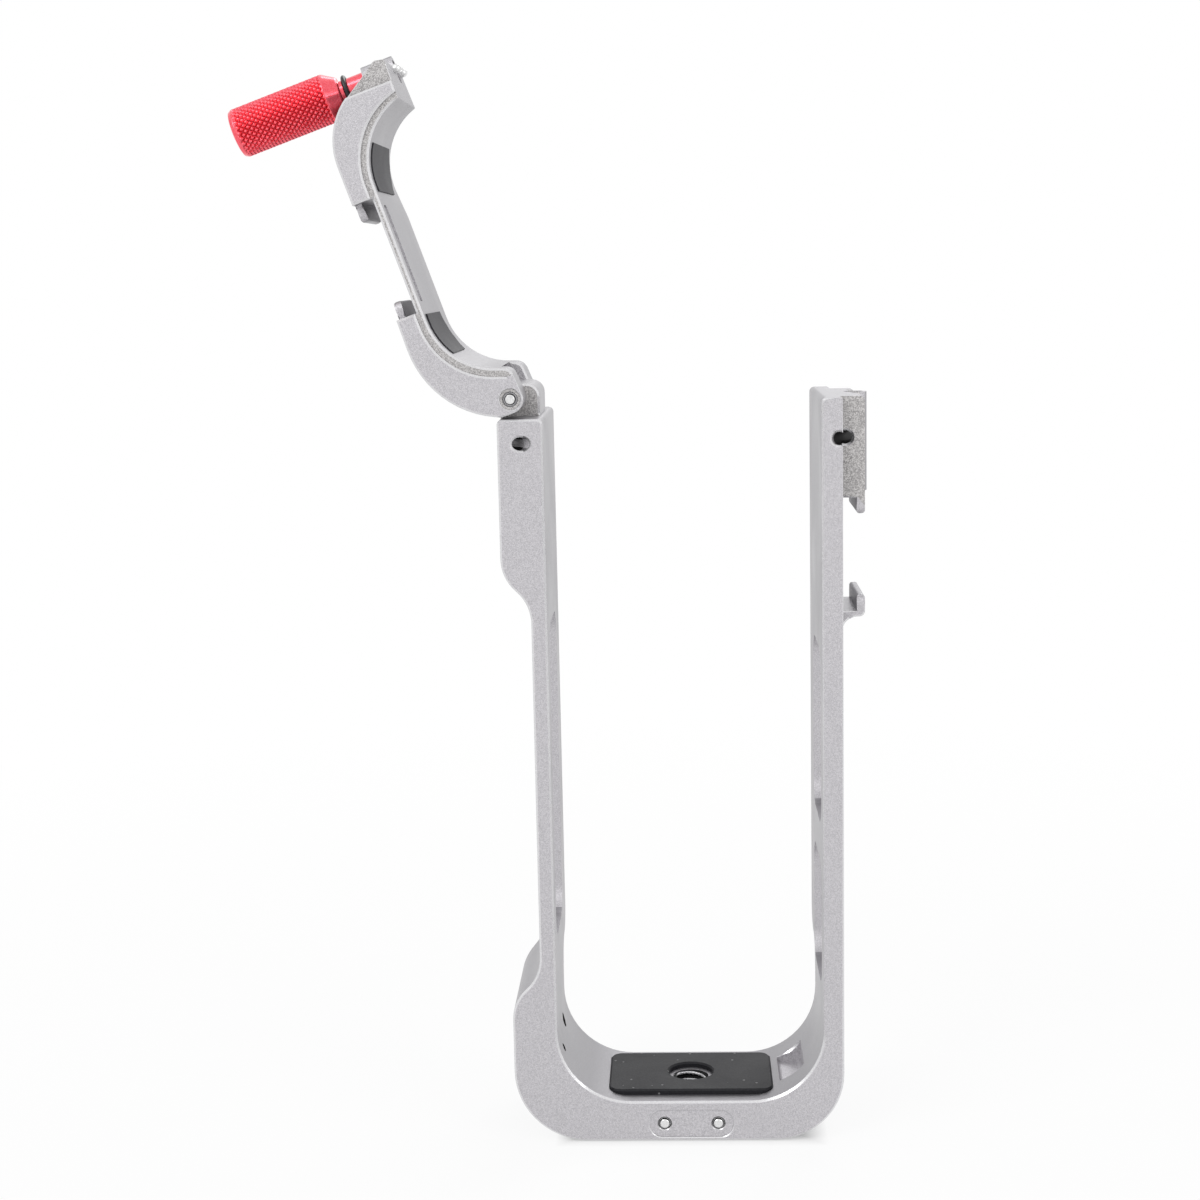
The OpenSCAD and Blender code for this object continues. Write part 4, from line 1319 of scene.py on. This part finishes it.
@dataclass
class Studio:
    """A pale floor, soft light and the camera at the photograph's view."""

    lens: float = 63.0
    sensor: float = 36.0
    clip: Pair = (0.01, 50.0)
    # The camera's place in millimetres, and its own axes.
    place: Triple = (-0.55, -361.375, 151.108)
    right: Triple = (0.999164, 0.03573, -0.020415)
    down: Triple = (-0.01461, -0.15578, -0.98769)
    forward: Triple = (-0.03847, 0.98715, -0.15513)
    aim: Triple = (0.0, 0.0, 0.09)
    world_strength: float = 0.62
    floor_grey: float = 0.8
    floor_roughness: float = 0.9
    floor_half: float = 6.0
    floor_height: float = -0.0002
    # How much of its own light the floor shows near by, and where that grows to all of it.
    glow_near: float = 0.9
    glow_span: Pair = (0.1, 0.35)
    # Half the width and depth of the patch under the base that stays dark, and its soft edge.
    foot: Pair = (0.018, 0.008)
    foot_edge: float = 0.006

    LAMPS: ClassVar[tuple[Lamp, ...]] = (
        Lamp("key_light", (-0.75, -0.8, 0.95), 6.5, 0.7),
        Lamp("fill_light", (0.85, -0.7, 0.45), 3.2, 0.6),
        Lamp("back_light", (0.25, 0.75, 0.85), 3.5, 0.6))

    def camera(self) -> None:
        """Sets the camera where the photograph was taken."""
        data = bpy.data.cameras.new("photo_camera")
        data.lens, data.sensor_width = self.lens, self.sensor
        data.clip_start, data.clip_end = self.clip
        view = link("photo_camera", data)
        axes = np.stack([self.right, -np.array(self.down), -np.array(self.forward)], axis=1)
        matrix = Matrix(axes.tolist()).to_4x4()
        matrix.translation = Vector(self.place) * MM
        view.matrix_world = matrix
        bpy.context.scene.camera = view

    def light(self, lamp: Lamp) -> None:
        """Adds a lamp that looks at the cage's middle.

        Args:
            lamp: the lamp's place, size and power.
        """
        data = bpy.data.lights.new(lamp.name, "AREA")
        data.energy, data.size = lamp.power, lamp.size
        thing = link(lamp.name, data)
        thing.location = lamp.place
        away = Vector(lamp.place) - Vector(self.aim)
        thing.rotation_euler = away.to_track_quat("Z", "Y").to_euler()

    def backdrop(self) -> None:
        """Lights the world softly, and shows it white to the camera and in reflections."""
        world = bpy.data.worlds.new("studio")
        bpy.context.scene.world = world
        world.use_nodes = True
        wire = Wire(world.node_tree)
        lit = world.node_tree.nodes["Background"]
        lit.inputs["Color"].default_value = (1.0, 1.0, 1.0, 1.0)
        extra = wire.math("MULTIPLY", wire.seen(), 1.0 - self.world_strength)
        wire.feed(lit.inputs["Strength"], wire.math("ADD", extra, self.world_strength))

    def floor(self) -> None:
        """Lays a pale floor that shows nearly white and keeps a faint shadow."""
        material = bpy.data.materials.new("studio_floor")
        material.use_nodes = True
        wire = Wire(material.node_tree)
        nodes = material.node_tree.nodes
        shader, out = nodes["Principled BSDF"], nodes["Material Output"]
        shader.inputs["Base Color"].default_value = (*[self.floor_grey] * 3, 1.0)
        shader.inputs["Roughness"].default_value = self.floor_roughness
        place = wire.add("ShaderNodeTexCoord").outputs["Object"]
        reach = wire.add("ShaderNodeVectorMath", {"Vector": place}, operation="LENGTH")
        far = wire.ramp(reach.outputs["Value"], *self.glow_span)
        fade = wire.math("ADD", wire.math("MULTIPLY", far, 1.0 - self.glow_near), self.glow_near)
        under = wire.add("ShaderNodeSeparateXYZ", {"Vector": place}).outputs
        aside, behind = (wire.math("SUBTRACT", wire.math("ABSOLUTE", under[axis]), half)
                         for axis, half in zip("XY", self.foot))
        clear = wire.ramp(wire.math("MAXIMUM", aside, behind), 0.0, self.foot_edge)
        seen = wire.math("MULTIPLY", wire.seen(), clear)
        mix = wire.add("ShaderNodeMixShader", {"Fac": wire.math("MULTIPLY", seen, fade)})
        wire.feed(mix.inputs[1], shader.outputs[0])
        wire.feed(mix.inputs[2], wire.add("ShaderNodeEmission").outputs[0])
        wire.feed(out.inputs["Surface"], mix.outputs[0])
        half = self.floor_half
        mesh = bpy.data.meshes.new("studio_floor")
        mesh.from_pydata([(x, y, self.floor_height) for x, y in
                          ((-half, -half), (half, -half), (half, half), (-half, half))],
                         [], [(0, 1, 2, 3)])
        mesh.materials.append(material)
        floor = link("studio_floor", mesh)
        floor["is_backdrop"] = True

    def build(self) -> None:
        """Sets the stage."""
        bpy.context.scene.view_settings.view_transform = "Standard"
        self.backdrop()
        self.floor()
        for lamp in self.LAMPS:
            self.light(lamp)
        self.camera()


def corners() -> list[list[float]]:
    """The shown object's box as plain lists."""
    return [list(corner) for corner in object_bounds()]


def main() -> None:
    """Builds the stage and the cage."""
    logging.basicConfig(level=logging.INFO)
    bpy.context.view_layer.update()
    Studio().build()
    CameraCage().build()
    LOG.info("the cage is built")


if __name__ == "__main__":
    main()
